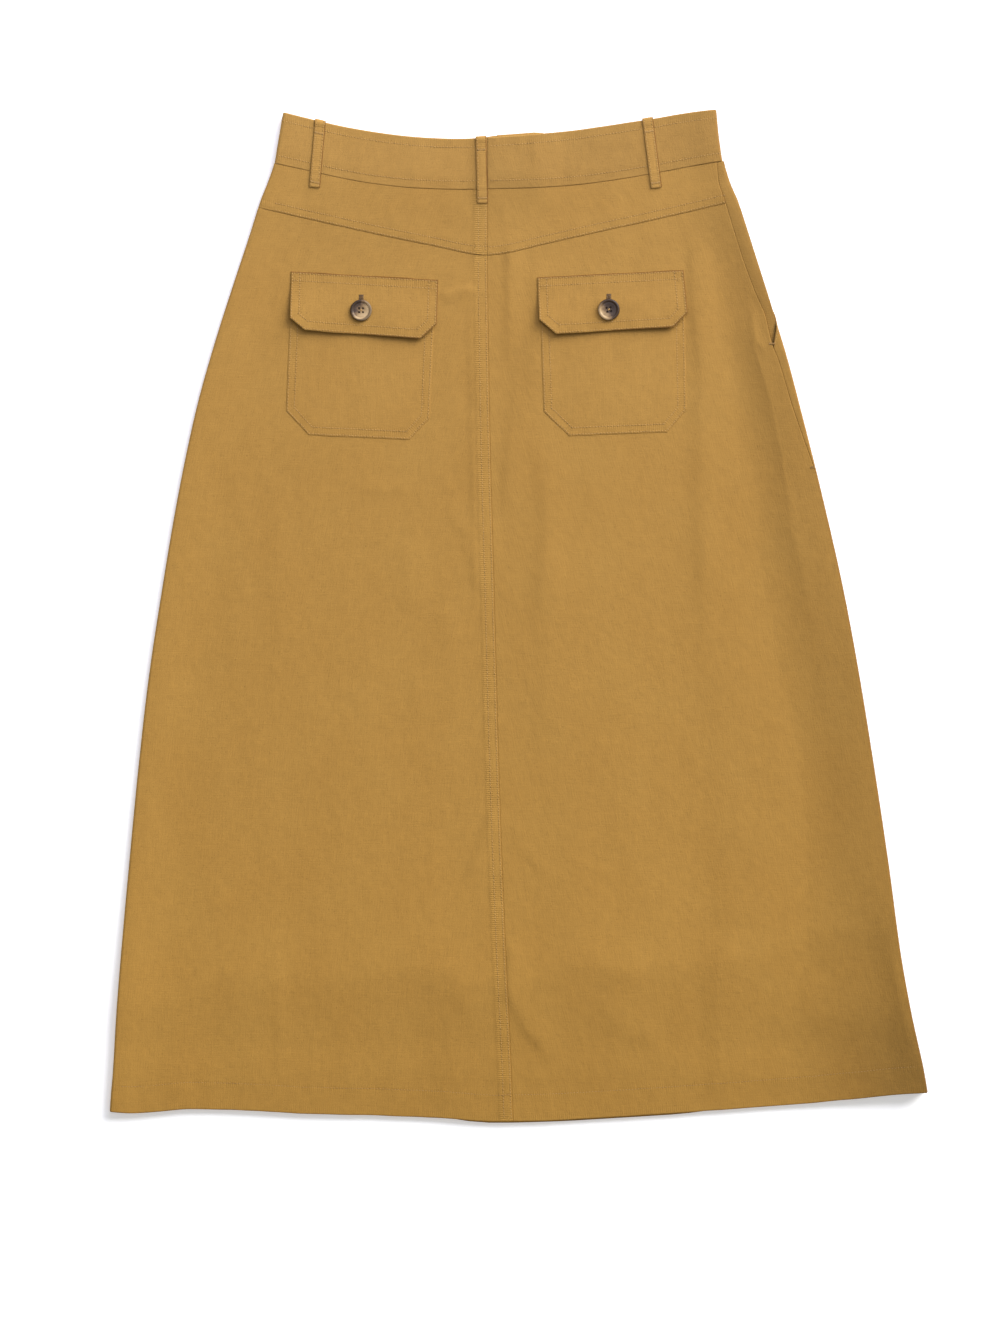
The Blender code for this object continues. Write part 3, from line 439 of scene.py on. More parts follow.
# ---------------------------------------------------------------- meshes
def make_mesh(name, co, polys, attributes=None):
    """co in mm; polys is a list of (faces, corners) index arrays."""
    polys = [np.asarray(p, np.int64) for p in polys if len(p)]
    volume = 0.0
    for p in polys:
        a = co[p[:, 0]]
        for k in range(1, p.shape[1] - 1):
            volume += np.einsum("ij,ij->i", a, np.cross(co[p[:, k]], co[p[:, k + 1]])).sum()
    if volume < 0:
        polys = [p[:, ::-1] for p in polys]
    corners = np.concatenate([p.ravel() for p in polys])
    sizes = np.concatenate([np.full(len(p), p.shape[1]) for p in polys])
    starts = np.concatenate([[0], np.cumsum(sizes)[:-1]])
    mesh = bpy.data.meshes.new(name)
    mesh.vertices.add(len(co))
    mesh.vertices.foreach_set("co", (co * MM).astype(np.float32).ravel())
    mesh.loops.add(len(corners))
    mesh.loops.foreach_set("vertex_index", corners.astype(np.int32))
    mesh.polygons.add(len(sizes))
    mesh.polygons.foreach_set("loop_start", starts.astype(np.int32))
    mesh.update(calc_edges=True)
    for key, values in (attributes or {}).items():
        values = np.asarray(values, np.float32)
        if values.ndim == 2:
            mesh.attributes.new(key, "FLOAT_VECTOR", "POINT").data.foreach_set("vector", values.ravel())
        else:
            mesh.attributes.new(key, "FLOAT", "POINT").data.foreach_set("value", values)
    mesh.shade_smooth()
    return mesh


def add_piece(name, mesh, material, replaces=()):
    obj = bpy.data.objects.new(name, mesh)
    bpy.context.scene.collection.objects.link(obj)
    mesh.materials.append(material)
    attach(obj, "root")
    if replaces:
        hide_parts(*replaces)
    return obj


def every(count, step):
    """0, step, 2 step ... and always count - 1."""
    got = list(range(0, count - 1, step))
    if len(got) > 1 and count - 1 - got[-1] < step / 2:
        got.pop()
    return got + [count - 1]


def shell(name, outer, inner, weave, seam, material, node, step=3):
    """Closes an outer grid and a coarser inner one of the same outline into one thin shell.
    weave holds the cloth's own coordinates in mm and seam the stitched ribs' (along, weight, painted light and shade)."""
    rows, cols = outer.shape[:2]
    ks, js = every(rows, step), every(cols, step)
    a = np.arange(rows * cols).reshape(rows, cols)
    b = rows * cols + np.arange(len(ks) * len(js)).reshape(len(ks), len(js))
    pick = np.ix_(ks, js)
    co = np.concatenate([outer.reshape(-1, 3), inner[pick].reshape(-1, 3)])
    quads = [np.stack([a[:-1, :-1], a[:-1, 1:], a[1:, 1:], a[1:, :-1]], -1).reshape(-1, 4),
             np.stack([b[:-1, :-1], b[1:, :-1], b[1:, 1:], b[:-1, 1:]], -1).reshape(-1, 4)]
    rim = {}

    def face(outside, inside):
        f = list(outside) + list(inside)
        rim.setdefault(len(f), []).append(f)

    for n in range(len(js) - 1):
        lo, hi = js[n], js[n + 1]
        face(a[0, lo:hi + 1][::-1], (b[0, n], b[0, n + 1]))
        face(a[-1, lo:hi + 1], (b[-1, n + 1], b[-1, n]))
    for n in range(len(ks) - 1):
        lo, hi = ks[n], ks[n + 1]
        face(a[lo:hi + 1, -1][::-1], (b[n, -1], b[n + 1, -1]))
        face(a[lo:hi + 1, 0], (b[n + 1, 0], b[n, 0]))
    both = {"cloth": weave, "seam": seam}
    attributes = {k: np.concatenate([v.reshape(-1, 3), v[pick].reshape(-1, 3) * ((1, 1, 1) if k == "cloth" else (1, 0, 0))])
                  for k, v in both.items()}
    mesh = make_mesh(name, co, quads + [np.array(v) for v in rim.values()], attributes)
    return add_piece(name, mesh, material, (node,) if node else ())


def rounded(d, r):
    """1 at an edge, falling to 0 at r from it, as a quarter round."""
    t = np.clip(1 - d / r, 0, 1)
    return 1 - np.sqrt(np.clip(1 - t * t, 0, 1))


def steps(*parts):
    """Distances: (until, step) pairs one after another from 0."""
    got, at = [0.0], 0.0
    for until, step in parts:
        n = max(1, int(round((until - at) / step)))
        got += [at + (until - at) * (k + 1) / n for k in range(n)]
        at = until
    return got


def spread_matrix(start, end, middle):
    """A distance along a length L is a + b L; fixed steps at both ends and equal ones between."""
    p, q = start[-1], end[-1]
    t = (np.arange(1, middle)) / middle
    a = np.concatenate([start, p * (1 - t) - q * t, -np.array(end[::-1])])
    b = np.concatenate([np.zeros(len(start)), t, np.ones(len(end))])
    return a, b


def row_dents(rows_at, seed, dent=0.055, pucker=0.08, reach=4.5, size=7.0):
    """Dent and puckers of stitched rows. rows_at is a list of (distance from the row, place along it)."""
    z = 0.0
    for n, (d, s) in enumerate(rows_at):
        z = z - dent * np.exp(-(d / 0.8) ** 2)
        z = z + pucker * np.exp(-(d / reach) ** 2) * (noise1(s, size, seed + n) + 0.5 * noise1(s, size * 0.45, seed + n + 20))
    return z


def ribs(*bands):
    """Of several (weight, along) bands the strongest at each point, as one (along, weight, 0)."""
    weight = np.stack([np.broadcast_to(w, bands[0][0].shape) for w, _ in bands])
    along = np.stack([np.broadcast_to(s, bands[0][0].shape) for _, s in bands])
    k = weight.argmax(0)
    w = np.take_along_axis(weight, k[None], 0)[0]
    s = np.take_along_axis(along, k[None], 0)[0]
    return np.stack([s, w, np.zeros_like(w)], -1)


def near(d, middle, reach):
    return np.exp(-((d - middle) / reach) ** 2)


class Laid:
    """A cut piece laid on the tube: a grid of girths and heights, with its distances to its four edges."""

    def __init__(self, tube, side, start, end, low, high, cols, rows, raised, wall):
        self.tube, self.side, self.raised, self.wall = tube, side, raised, wall
        ca, cb = spread_matrix(*cols)
        ra, rb = spread_matrix(*rows)
        ra, rb = ra[:, None], rb[:, None]
        y = low(0.0) + ra + rb * (high(0.0) - low(0.0)) + np.zeros((1, len(ca)))
        x = np.zeros_like(y)
        for _ in range(9):
            s, e = start(y), end(y)
            g = s + np.sign(e - s) * (ca + cb * np.abs(e - s))
            q = tube.quarter(side, y)[2]
            x = tube.across(side, g, y, raised(x, y, g) - wall(x, y) / 2, q)
            lo, hi = low(x), high(x)
            y = lo + ra + rb * (hi - lo)
        self.g, self.x, self.y = g, x, y
        s, e = start(y), end(y)
        self.from_start, self.from_end = np.abs(g - s), np.abs(e - g)
        self.from_low, self.from_high = y - low(x), high(x) - y

    def build(self, name, node, material, fine, roll, seam, step=3, tint=0.0, dark=(0.0, 0.0, 0.0, 0.0), strip=False):
        """fine is the extra height; roll the depth by which each edge turns down (start, end, low, high)
        and dark how much painted shade darkens the cloth in the seam there."""
        # painted shade in the seams
        groove = 0.0
        for depth, d in zip(dark, (self.from_start, self.from_end, self.from_low, self.from_high)):
            groove = np.maximum(groove, depth * (1 - ease(0.2, 1.0, d)))
        # painted light and shade on the folds' crowns: the left one is drawn paler, the right one darker
        q = self.tube.quarter(self.side, self.y)[2]
        if self.side > 0:
            fold_painted_light = (0.32 + 0.20 * (1 - ease(60, 160, self.y))) * (1 - ease(q - 1.2, q + 1.1, np.abs(self.g)))
        else:
            fold_painted_light = -0.22 * (1 - ease(q - 1.6, q + 1.0, np.abs(self.g)))
        groove = groove + fold_painted_light
        if strip:
            groove = groove - 0.04 * (1 - ease(FELL_WIDTH - 1.0, FELL_WIDTH + 1.0, self.from_start))
        seam = seam.copy()
        seam[..., 2] = groove
        # painted shade below the crease across above the hem and towards the right fold, on the body's pieces
        tint = tint + painted_shade(self.tube.fold(1, self.y) - self.x, self.x, self.y) * (self.tube is BODY)
        edge = 0.0
        for depth, d in zip(roll, (self.from_start, self.from_end, self.from_low, self.from_high)):
            edge = np.maximum(edge, depth * rounded(d, 1.0))
        out = self.raised(self.x, self.y, self.g) + fine
        wall = self.wall(self.x, self.y)
        outer = self.tube.point(self.side, self.g, self.y, out - edge)
        inner = self.tube.point(self.side, self.g, self.y, out - np.maximum(wall, edge + 0.15))
        weave = np.stack([self.g, self.y, tint + np.zeros_like(self.y)], -1)
        return shell(name, outer, inner, weave, seam, material, node, step)


# ---------------------------------------------------------------- stitches
def capsules(centres, along, normal, length, radius, sink=0.2, sides=6):
    """Many small threads, each bowed so that its ends go down into the cloth."""
    stations = np.array([-1.0, -0.78, -0.35, 0.35, 0.78, 1.0])
    lift = np.array([-1.1, -0.25, 0.1, 0.1, -0.25, -1.1]) * sink + 0.08
    width = np.array([0.45, 0.85, 1.0, 1.0, 0.85, 0.45])
    t = along / np.linalg.norm(along, axis=-1, keepdims=True)
    b = np.cross(normal, t)
    b /= np.linalg.norm(b, axis=-1, keepdims=True)
    n = np.cross(t, b)
    turn = 2 * math.pi * np.arange(sides) / sides
    length = np.broadcast_to(np.asarray(length, float), (len(centres),))
    rings = (centres[:, None, None, :]
             + t[:, None, None, :] * (stations[None, :, None, None] * length[:, None, None, None] / 2)
             + n[:, None, None, :] * lift[None, :, None, None]
             + radius * width[None, :, None, None] * (b[:, None, None, :] * np.cos(turn)[None, None, :, None]
                                                      + 0.8 * n[:, None, None, :] * np.sin(turn)[None, None, :, None]))
    m, k = len(centres), len(stations)
    co = rings.reshape(-1, 3)
    idx = np.arange(m * k * sides).reshape(m, k, sides)
    nxt = np.roll(idx, -1, axis=2)
    quads = np.stack([idx[:, :-1], nxt[:, :-1], nxt[:, 1:], idx[:, 1:]], -1).reshape(-1, 4)
    caps = np.concatenate([idx[:, 0, ::-1], idx[:, -1, :]]).reshape(-1, sides)
    return co, quads, caps


def along_path(points, normals, pitch, phase=0.0):
    """Evenly spaced places along a path, with the path's direction and the normals there."""
    run = np.concatenate([[0], np.cumsum(np.linalg.norm(np.diff(points, axis=0), axis=1))])
    count = max(1, int((run[-1] - 2 * phase) / pitch))
    at = phase + (run[-1] - 2 * phase - count * pitch) / 2 + pitch * (np.arange(count) + 0.5)

    def read(values, s):
        return np.stack([np.interp(s, run, values[:, c]) for c in range(3)], -1)

    ahead = read(points, at + 0.6) - read(points, at - 0.6)
    return read(points, at), ahead, read(normals, at)


THREADS = {}


def sew(piece, points, normals, pitch=STITCH_PITCH, length=STITCH_LENGTH, radius=STITCH_RADIUS, seed=0):
    c, t, n = along_path(points, normals, pitch)
    if not len(c):
        return
    rng = np.random.default_rng(900 + seed)
    n = n / np.linalg.norm(n, axis=1, keepdims=True)
    sideways = np.cross(n, t / np.linalg.norm(t, axis=1, keepdims=True))
    c = c + sideways * rng.uniform(-0.1, 0.1, (len(c), 1))
    t = t + sideways * rng.uniform(-0.09, 0.09, (len(c), 1)) * np.linalg.norm(t, axis=1, keepdims=True)
    THREADS.setdefault(piece, []).append(capsules(c, t, n, length * rng.uniform(0.93, 1.05, len(c)), radius))


def sew_on(piece, laid, g, y, seed, fine=None, lift=0.0, **sizes):
    """A row of stitches at girths g and heights y of a laid piece."""
    q = laid.tube.quarter(laid.side, y)[2]
    x = laid.tube.across(laid.side, g, y, 0.0, q)
    out = laid.raised(x, y, g) + lift
    p = laid.tube.point(laid.side, g, y, out)
    p1 = laid.tube.point(laid.side, g, y, out + 1.0)
    flat = np.abs(g) > q
    n = p1 - p
    dx, dy = np.zeros_like(g), np.zeros_like(g)
    n[flat] = np.stack([dx, dy, np.sign(g)], -1)[flat]
    sew(piece, p, n, seed=seed, **sizes)


SUNK = np.repeat([1.0, 0.6, 0.0, 0.0, 0.6, 1.0], 6)     # of a capsule's vertices, how deep in the cloth


def finish_threads(material):
    made = {}
    for piece, parts in THREADS.items():
        co, quads, caps, at = [], [], [], 0
        for c, q, p in parts:
            co.append(c)
            quads.append(q + at)
            caps.append(p + at)
            at += len(c)
        name = "thread_" + piece
        mesh = make_mesh(name, np.concatenate(co), [np.concatenate(quads), np.concatenate(caps)],
                         {"sunk": np.tile(SUNK, at // len(SUNK))})
        made[piece] = add_piece(name, mesh, material)
    return made


# ---------------------------------------------------------------- materials
def node_tree(name):
    m = bpy.data.materials.new(name)
    m.use_nodes = True
    tree = m.node_tree
    shader = next(n for n in tree.nodes if n.type == "BSDF_PRINCIPLED")
    return m, tree, shader


def add(tree, kind, values=None, **settings):
    n = tree.nodes.new("ShaderNode" + kind)
    for k, v in settings.items():
        setattr(n, k, v)
    for k, v in (values or {}).items():
        if isinstance(v, bpy.types.NodeSocket):
            tree.links.new(v, n.inputs[k])
        else:
            n.inputs[k].default_value = v
    return n


def maths(tree, operation, a, b=0.0, c=0.0):
    return add(tree, "Math", {0: a, 1: b, 2: c}, operation=operation).outputs[0]


def twill(name, colour, rib_depth=1.0):
    """Cotton twill: diagonal wales, slubs along both threads, soft mottling and stitched ribs."""
    m, tree, shader = node_tree(name)
    place = add(tree, "Attribute", attribute_name="cloth").outputs["Vector"]
    seam = add(tree, "Attribute", attribute_name="seam").outputs["Vector"]
    split = add(tree, "SeparateXYZ", {0: place})
    u, v = split.outputs[0], split.outputs[1]
    seam_split = add(tree, "SeparateXYZ", {0: seam})
    seam_along, seam_weight, seam_painted_light_shade = seam_split.outputs[0], seam_split.outputs[1], seam_split.outputs[2]

    def noise(scale_u, scale_v, detail, seed):
        vec = add(tree, "CombineXYZ", {0: maths(tree, "MULTIPLY", u, scale_u), 1: maths(tree, "MULTIPLY", v, scale_v),
                                       2: seed})
        return add(tree, "TexNoise", {"Vector": vec.outputs[0], "Scale": 1.0, "Detail": detail, "Roughness": 0.55},
                   noise_dimensions="3D").outputs["Fac"]

    cloud = noise(1 / 55, 1 / 70, 3.0, 3.3)
    mottle = noise(1 / 7, 1 / 9, 2.0, 11.0)
    slub_up = noise(1 / 1.1, 1 / 16, 1.5, 23.0)
    slub_across = noise(1 / 14, 1 / 1.0, 1.5, 41.0)
    grain = noise(1 / 0.75, 1 / 0.75, 1.0, 57.0)

    # the wales: about 1 mm apart, rising to the right, broken up by the slubs
    drift = maths(tree, "MULTIPLY", mottle, 1.6)
    phase = maths(tree, "ADD", maths(tree, "MULTIPLY", u, 4.4), maths(tree, "MULTIPLY", v, -5.6))
    wale = maths(tree, "SINE", maths(tree, "ADD", phase, drift))
    yarn = maths(tree, "SINE", maths(tree, "ADD", maths(tree, "MULTIPLY", v, 12.5), maths(tree, "MULTIPLY", u, 9.0)))

    shade = maths(tree, "MULTIPLY", maths(tree, "SUBTRACT", cloud, 0.5), 0.12)
    for value, amount in ((mottle, 0.16), (slub_up, 0.15), (slub_across, 0.13), (grain, 0.24)):
        shade = maths(tree, "ADD", shade, maths(tree, "MULTIPLY", maths(tree, "SUBTRACT", value, 0.5), amount))
    shade = maths(tree, "ADD", shade, maths(tree, "MULTIPLY", wale, 0.018))
    # the ribs' light and dark along stitched seams is painted light and shade of the puckers, besides their bump
    rib = maths(tree, "SINE", maths(tree, "ADD", maths(tree, "MULTIPLY", seam_along, 2 * math.pi / 1.65),
                                    maths(tree, "MULTIPLY", mottle, 5.0)))
    rib = maths(tree, "MULTIPLY", maths(tree, "MULTIPLY", rib, seam_weight), maths(tree, "ADD", slub_up, 0.5))
    shade = maths(tree, "ADD", shade, maths(tree, "MULTIPLY", rib, 0.044 * rib_depth))
    shade = maths(tree, "ADD", shade, split.outputs[2])
    speck = add(tree, "MapRange", {0: noise(1 / 1.3, 1 / 1.6, 0.0, 77.0), 1: 0.70, 2: 0.80, 3: 0.0, 4: -0.16}).outputs[0]
    shade = maths(tree, "ADD", shade, speck)
    lit = maths(tree, "ADD", shade, 1.0)

    warm = add(tree, "Mix", {0: maths(tree, "MULTIPLY", cloud, 1.0), 6: (*[c * f for c, f in zip(colour, (1.012, 0.985, 0.94))], 1),
                             7: (*[c * f for c, f in zip(colour, (0.988, 1.012, 1.05))], 1)}, data_type="RGBA")
    scaled = add(tree, "VectorMath", {0: warm.outputs[2], "Scale": lit}, operation="SCALE")
    # seams are painted darker and warmer as shade, and the folds' crowns lighter or darker as light and shade; towards
    # the waist the colour is painted bluer and a little greener, standing in for the cooler light from above
    deep = add(tree, "CombineXYZ", {
        0: maths(tree, "SUBTRACT", 1.0, maths(tree, "MULTIPLY", seam_painted_light_shade, 0.9)),
        1: maths(tree, "ADD", maths(tree, "SUBTRACT", 1.0, maths(tree, "MULTIPLY", seam_painted_light_shade, 1.03)),
                 maths(tree, "MULTIPLY", v, 0.00003)),
        2: maths(tree, "ADD", maths(tree, "SUBTRACT", 1.0, maths(tree, "MULTIPLY", seam_painted_light_shade, 1.25)),
                 maths(tree, "MULTIPLY", v, 0.00025))})
    dyed = add(tree, "VectorMath", {0: scaled.outputs[0], 1: deep.outputs[0]}, operation="MULTIPLY")
    tree.links.new(dyed.outputs[0], shader.inputs["Base Color"])

    tree.links.new(maths(tree, "ADD", maths(tree, "MULTIPLY", slub_up, 0.12), 0.80), shader.inputs["Roughness"])
    shader.inputs["Specular IOR Level"].default_value = 0.22
    shader.inputs["Sheen Weight"].default_value = 0.08
    shader.inputs["Sheen Roughness"].default_value = 0.45
    shader.inputs["Sheen Tint"].default_value = (1.0, 0.85, 0.6, 1)

    height = maths(tree, "MULTIPLY", wale, 0.035)
    height = maths(tree, "ADD", height, maths(tree, "MULTIPLY", yarn, 0.012))
    height = maths(tree, "ADD", height, maths(tree, "MULTIPLY", slub_up, 0.10))
    height = maths(tree, "ADD", height, maths(tree, "MULTIPLY", slub_across, 0.08))
    height = maths(tree, "ADD", height, maths(tree, "MULTIPLY", mottle, 0.22))
    height = maths(tree, "ADD", height, maths(tree, "MULTIPLY", grain, 0.05))
    height = maths(tree, "ADD", height, maths(tree, "MULTIPLY", rib, 0.060 * rib_depth))
    bump = add(tree, "Bump", {"Height": height, "Strength": 1.0, "Distance": MM})
    tree.links.new(bump.outputs[0], shader.inputs["Normal"])
    return m


def thread_material(name, colour):
    m, tree, shader = node_tree(name)
    place = add(tree, "TexCoord").outputs["Object"]
    n = add(tree, "TexNoise", {"Vector": place, "Scale": 900.0, "Detail": 1.0}).outputs["Fac"]
    twist = add(tree, "TexWave", {"Vector": place, "Scale": 620.0, "Distortion": 2.0}, bands_direction="DIAGONAL")
    lit = maths(tree, "ADD", maths(tree, "MULTIPLY", n, 0.3), 0.85)
    sunk = add(tree, "Attribute", attribute_name="sunk").outputs["Fac"]
    # the ends that go down into the cloth are painted darker, as shade
    lit = maths(tree, "MULTIPLY", lit, maths(tree, "SUBTRACT", 1.0, maths(tree, "MULTIPLY", sunk, 0.75)))
    scaled = add(tree, "VectorMath", {0: colour, "Scale": lit}, operation="SCALE")
    tree.links.new(scaled.outputs[0], shader.inputs["Base Color"])
    shader.inputs["Roughness"].default_value = 0.55
    shader.inputs["Sheen Weight"].default_value = 0.1
    bump = add(tree, "Bump", {"Height": twist.outputs["Fac"], "Strength": 0.5, "Distance": 0.00006})
    tree.links.new(bump.outputs[0], shader.inputs["Normal"])
    return m


def horn_material(name):
    """Mottled horn. The attribute `disc` holds (x, y, height) on the button, with +x towards its dark side."""
    m, tree, shader = node_tree(name)
    disc = add(tree, "Attribute", attribute_name="disc").outputs["Vector"]
    split = add(tree, "SeparateXYZ", {0: disc})
    streak = add(tree, "Mapping", {"Vector": disc, "Rotation": (0.2, 0.1, 0.6), "Scale": (1.4, 3.2, 2.0)})
    cloud = add(tree, "TexNoise", {"Vector": disc, "Scale": 1.6, "Detail": 3.0, "Roughness": 0.6}).outputs["Fac"]
    fine = add(tree, "TexNoise", {"Vector": streak.outputs[0], "Scale": 3.0, "Detail": 4.0, "Roughness": 0.65}).outputs["Fac"]
    dark = maths(tree, "ADD", split.outputs[0], maths(tree, "MULTIPLY", maths(tree, "SUBTRACT", cloud, 0.5), 1.1))
    dark = maths(tree, "ADD", dark, maths(tree, "MULTIPLY", maths(tree, "SUBTRACT", fine, 0.5), 0.5))
    ramp = add(tree, "ValToRGB", {0: maths(tree, "ADD", maths(tree, "MULTIPLY", dark, 0.5), 0.5)})
    stops = ((0.0, (0.47, 0.33, 0.175)), (0.36, (0.33, 0.22, 0.105)), (0.50, (0.17, 0.104, 0.05)),
             (0.63, (0.055, 0.034, 0.020)), (1.0, (0.022, 0.013, 0.009)))
    while len(ramp.color_ramp.elements) < len(stops):
        ramp.color_ramp.elements.new(0.5)
    for e, (at, c) in zip(ramp.color_ramp.elements, stops):
        e.position, e.color = at, (*c, 1)
    r = maths(tree, "SQRT", maths(tree, "ADD", maths(tree, "MULTIPLY", split.outputs[0], split.outputs[0]),
                                  maths(tree, "MULTIPLY", split.outputs[1], split.outputs[1])))
    rim = add(tree, "MapRange", {0: r, 1: 0.90, 2: 0.99, 3: 0.0, 4: 0.7}).outputs[0]
    colour = add(tree, "Mix", {0: rim, 6: ramp.outputs[0], 7: (0.045, 0.024, 0.012, 1)}, data_type="RGBA")
    tree.links.new(colour.outputs[2], shader.inputs["Base Color"])
    tree.links.new(maths(tree, "ADD", maths(tree, "MULTIPLY", fine, 0.15), 0.38), shader.inputs["Roughness"])
    shader.inputs["Specular IOR Level"].default_value = 0.22
    shader.inputs["Coat Weight"].default_value = 0.03
    shader.inputs["Coat Roughness"].default_value = 0.2
    bump = add(tree, "Bump", {"Height": fine, "Strength": 0.25, "Distance": 0.0001})
    tree.links.new(bump.outputs[0], shader.inputs["Normal"])
    return m


OCHRE = (0.353, 0.1884, 0.0387)
twill_body = twill("twill_body", OCHRE)
twill_band = twill("twill_band", tuple(c * f for c, f in zip(OCHRE, (1.022, 1.034, 1.10))))
twill_small = twill("twill_small", tuple(c * f for c, f in zip(OCHRE, (1.01, 1.01, 1.02))), 1.25)
# the pocket facing is a darker copy of the cloth: painted shade inside the pocket mouth
twill_facing_shaded = twill("twill_facing_shaded", tuple(c * 0.88 for c in OCHRE))
thread = thread_material("thread_ochre", (0.44, 0.245, 0.058))
thread_dark = thread_material("thread_shaded", (0.125, 0.062, 0.016))
thread_hem = thread_material("thread_hem", (0.335, 0.179, 0.039))
horn = horn_material("horn")


# ---------------------------------------------------------------- lines on the pieces
def line_girth(tube, side, line, shift=0.0):
    return lambda y: tube.girth(side, side * (tube.fold(side, y) - (line(y) + shift)), y)


def under_girth(tube, side, line, shift=0.0):
    return lambda y: -tube.girth(side, side * (tube.fold(side, y) - (line(y) + shift)), y)


def front_hem(x):
    return hem(x) - 1.3 * ease(-60, -42, x) * (1 - ease(133, 160, x))


def panel_wall(edge):
    return lambda x, y: CLOTH + (HEM_WALL - CLOTH) * (1 - ease(HEM_DEPTH - 1.5, HEM_DEPTH + 1.5, y - edge(x)))


def hem_raise(edge):
    """The turned-up hem is a little thicker, and steps down at its stitched top."""
    return lambda x, y: 0.12 * (1 - ease(HEM_DEPTH - 4.0, HEM_DEPTH + 6.0, y - edge(x)))


def side_edge(side, shift):
    return lambda y: side_seam[side](y) + shift


def body_wave(x, y):
    """The hem's edge ripples a little."""
    return 0.22 * noise1(x, 26.0, 5) + 0.12 * noise1(x, 11.0, 6)


def back_low(x):
    return hem(x) + body_wave(x, 0)


def back_high(x):
    return yoke_seam(x) - HALF_GAP


FELL_COLS = steps((2.4, 0.4), (6.0, 1.2), (8.4, 0.4), (10.2, 0.6), (12.4, 0.35), (15.0, 1.3))
SEAM_COLS = steps((1.6, 0.4), (4.0, 1.2))
SIDE_COLS = {-1: steps((1.6, 0.4), (34.0, 1.15)), 1: steps((1.6, 0.4), (30.0, 1.05))}
HEM_ROWS = steps((1.6, 0.4), (19.8, 1.3), (25.8, 0.5))
TOP_ROWS = steps((1.6, 0.4), (6.4, 1.2))
back_hem_raise = hem_raise(hem)


def back_raised(side):
    def out(x, y, g):
        r = back_hem_raise(x, y)
        if side < 0:
            r = r + FELL_RAISE * (1 - ease(FELL_WIDTH - 1.4, FELL_WIDTH + 1.6, centre_back(y) - x))
        return r
    return out


def back_panel(side, word, cols, middle_cols, middle_rows):
    laid = Laid(BODY, side, line_girth(BODY, side, centre_back, side * HALF_GAP), side_edge(side, -side * 0 + (HALF_GAP)),
                back_low, back_high, (cols, SIDE_COLS[side], middle_cols), (HEM_ROWS, TOP_ROWS, middle_rows),
                back_raised(side), panel_wall(hem))
    rows = [(laid.from_low - 22.4, laid.x)]
    bands = [(0.45 * near(laid.from_low, 22.0, 3.2), laid.x), (0.5 * near(laid.from_low, 2.5, 4.0), laid.x),
             (0.5 * near(laid.from_high, 0.0, 3.5), laid.x)]
    if side < 0:
        rows += [(laid.from_start - 1.3, laid.y), (laid.from_start - 7.3, laid.y)]
        bands += [(1.35 * near(laid.from_start, 7.6, 3.4), laid.y), (1.0 * near(laid.from_start, 1.0, 1.8), laid.y)]
    fine = row_dents(rows, 10 + side, pucker=0.10)
    # the hem draws in at its stitching, in small upright puckers that run out above and below it
    fine = fine + 0.15 * noise1(laid.x, 10.0, 30 + side) * np.exp(-((laid.from_low - 14) / 13) ** 2)
    fine = fine + 0.06 * noise1(laid.y, 9.0, 34 + side) * np.exp(-(laid.from_start / 14) ** 2)
    obj = laid.build("twill_back_panel_" + word, "back_panel_" + word, twill_body, fine,
                     (0.08, 0.1, 0.5, 0.1), ribs(*bands), dark=(0.07, 0.0, 0.0, 0.1), strip=side < 0)
    x = np.linspace(BODY.fold(side, -395.0) - side * 8, -5.3 + side * 1.6, 700) if side < 0 else \
        np.linspace(-5.3 + 1.6, BODY.fold(side, -380.0) - 8, 700)
    y = back_low(x) + 22.4
    sew_on("hem_" + word, laid, BODY.girth(side, side * (BODY.fold(side, y) - x), y), y, 11 + side, lift=-0.13, radius=0.2)
    if side < 0:
        for n, d in enumerate((1.3, 7.3)):
            y = np.linspace(-419.0, 299.0 - (2 if d > 5 else 0), 1200)
            g = line_girth(BODY, side, centre_back, side * HALF_GAP)(y) - d
            sew_on("back_panel_" + word, laid, g, y, 13 + n, lift=-0.03)
    return laid


back_left = back_panel(-1, "left", FELL_COLS, 118, 300)
back_right = back_panel(1, "right", SEAM_COLS, 118, 300)


# ---------------------------------------------------------------- yokes
def yoke_raised(x, y, g):
    return YOKE_RAISE * (1 - ease(5.0, 22.0, y - yoke_seam(x))) * (1 - ease(5, 12, np.maximum(0.0, 14 - np.abs(g))))


def yoke_foot(x):
    return yoke_seam(x) + HALF_GAP


def band_foot(x):
    return band_seam(x) - HALF_GAP


YOKE_ROWS = steps((2.2, 0.4), (5.8, 1.2), (8.2, 0.4), (12.0, 1.2))


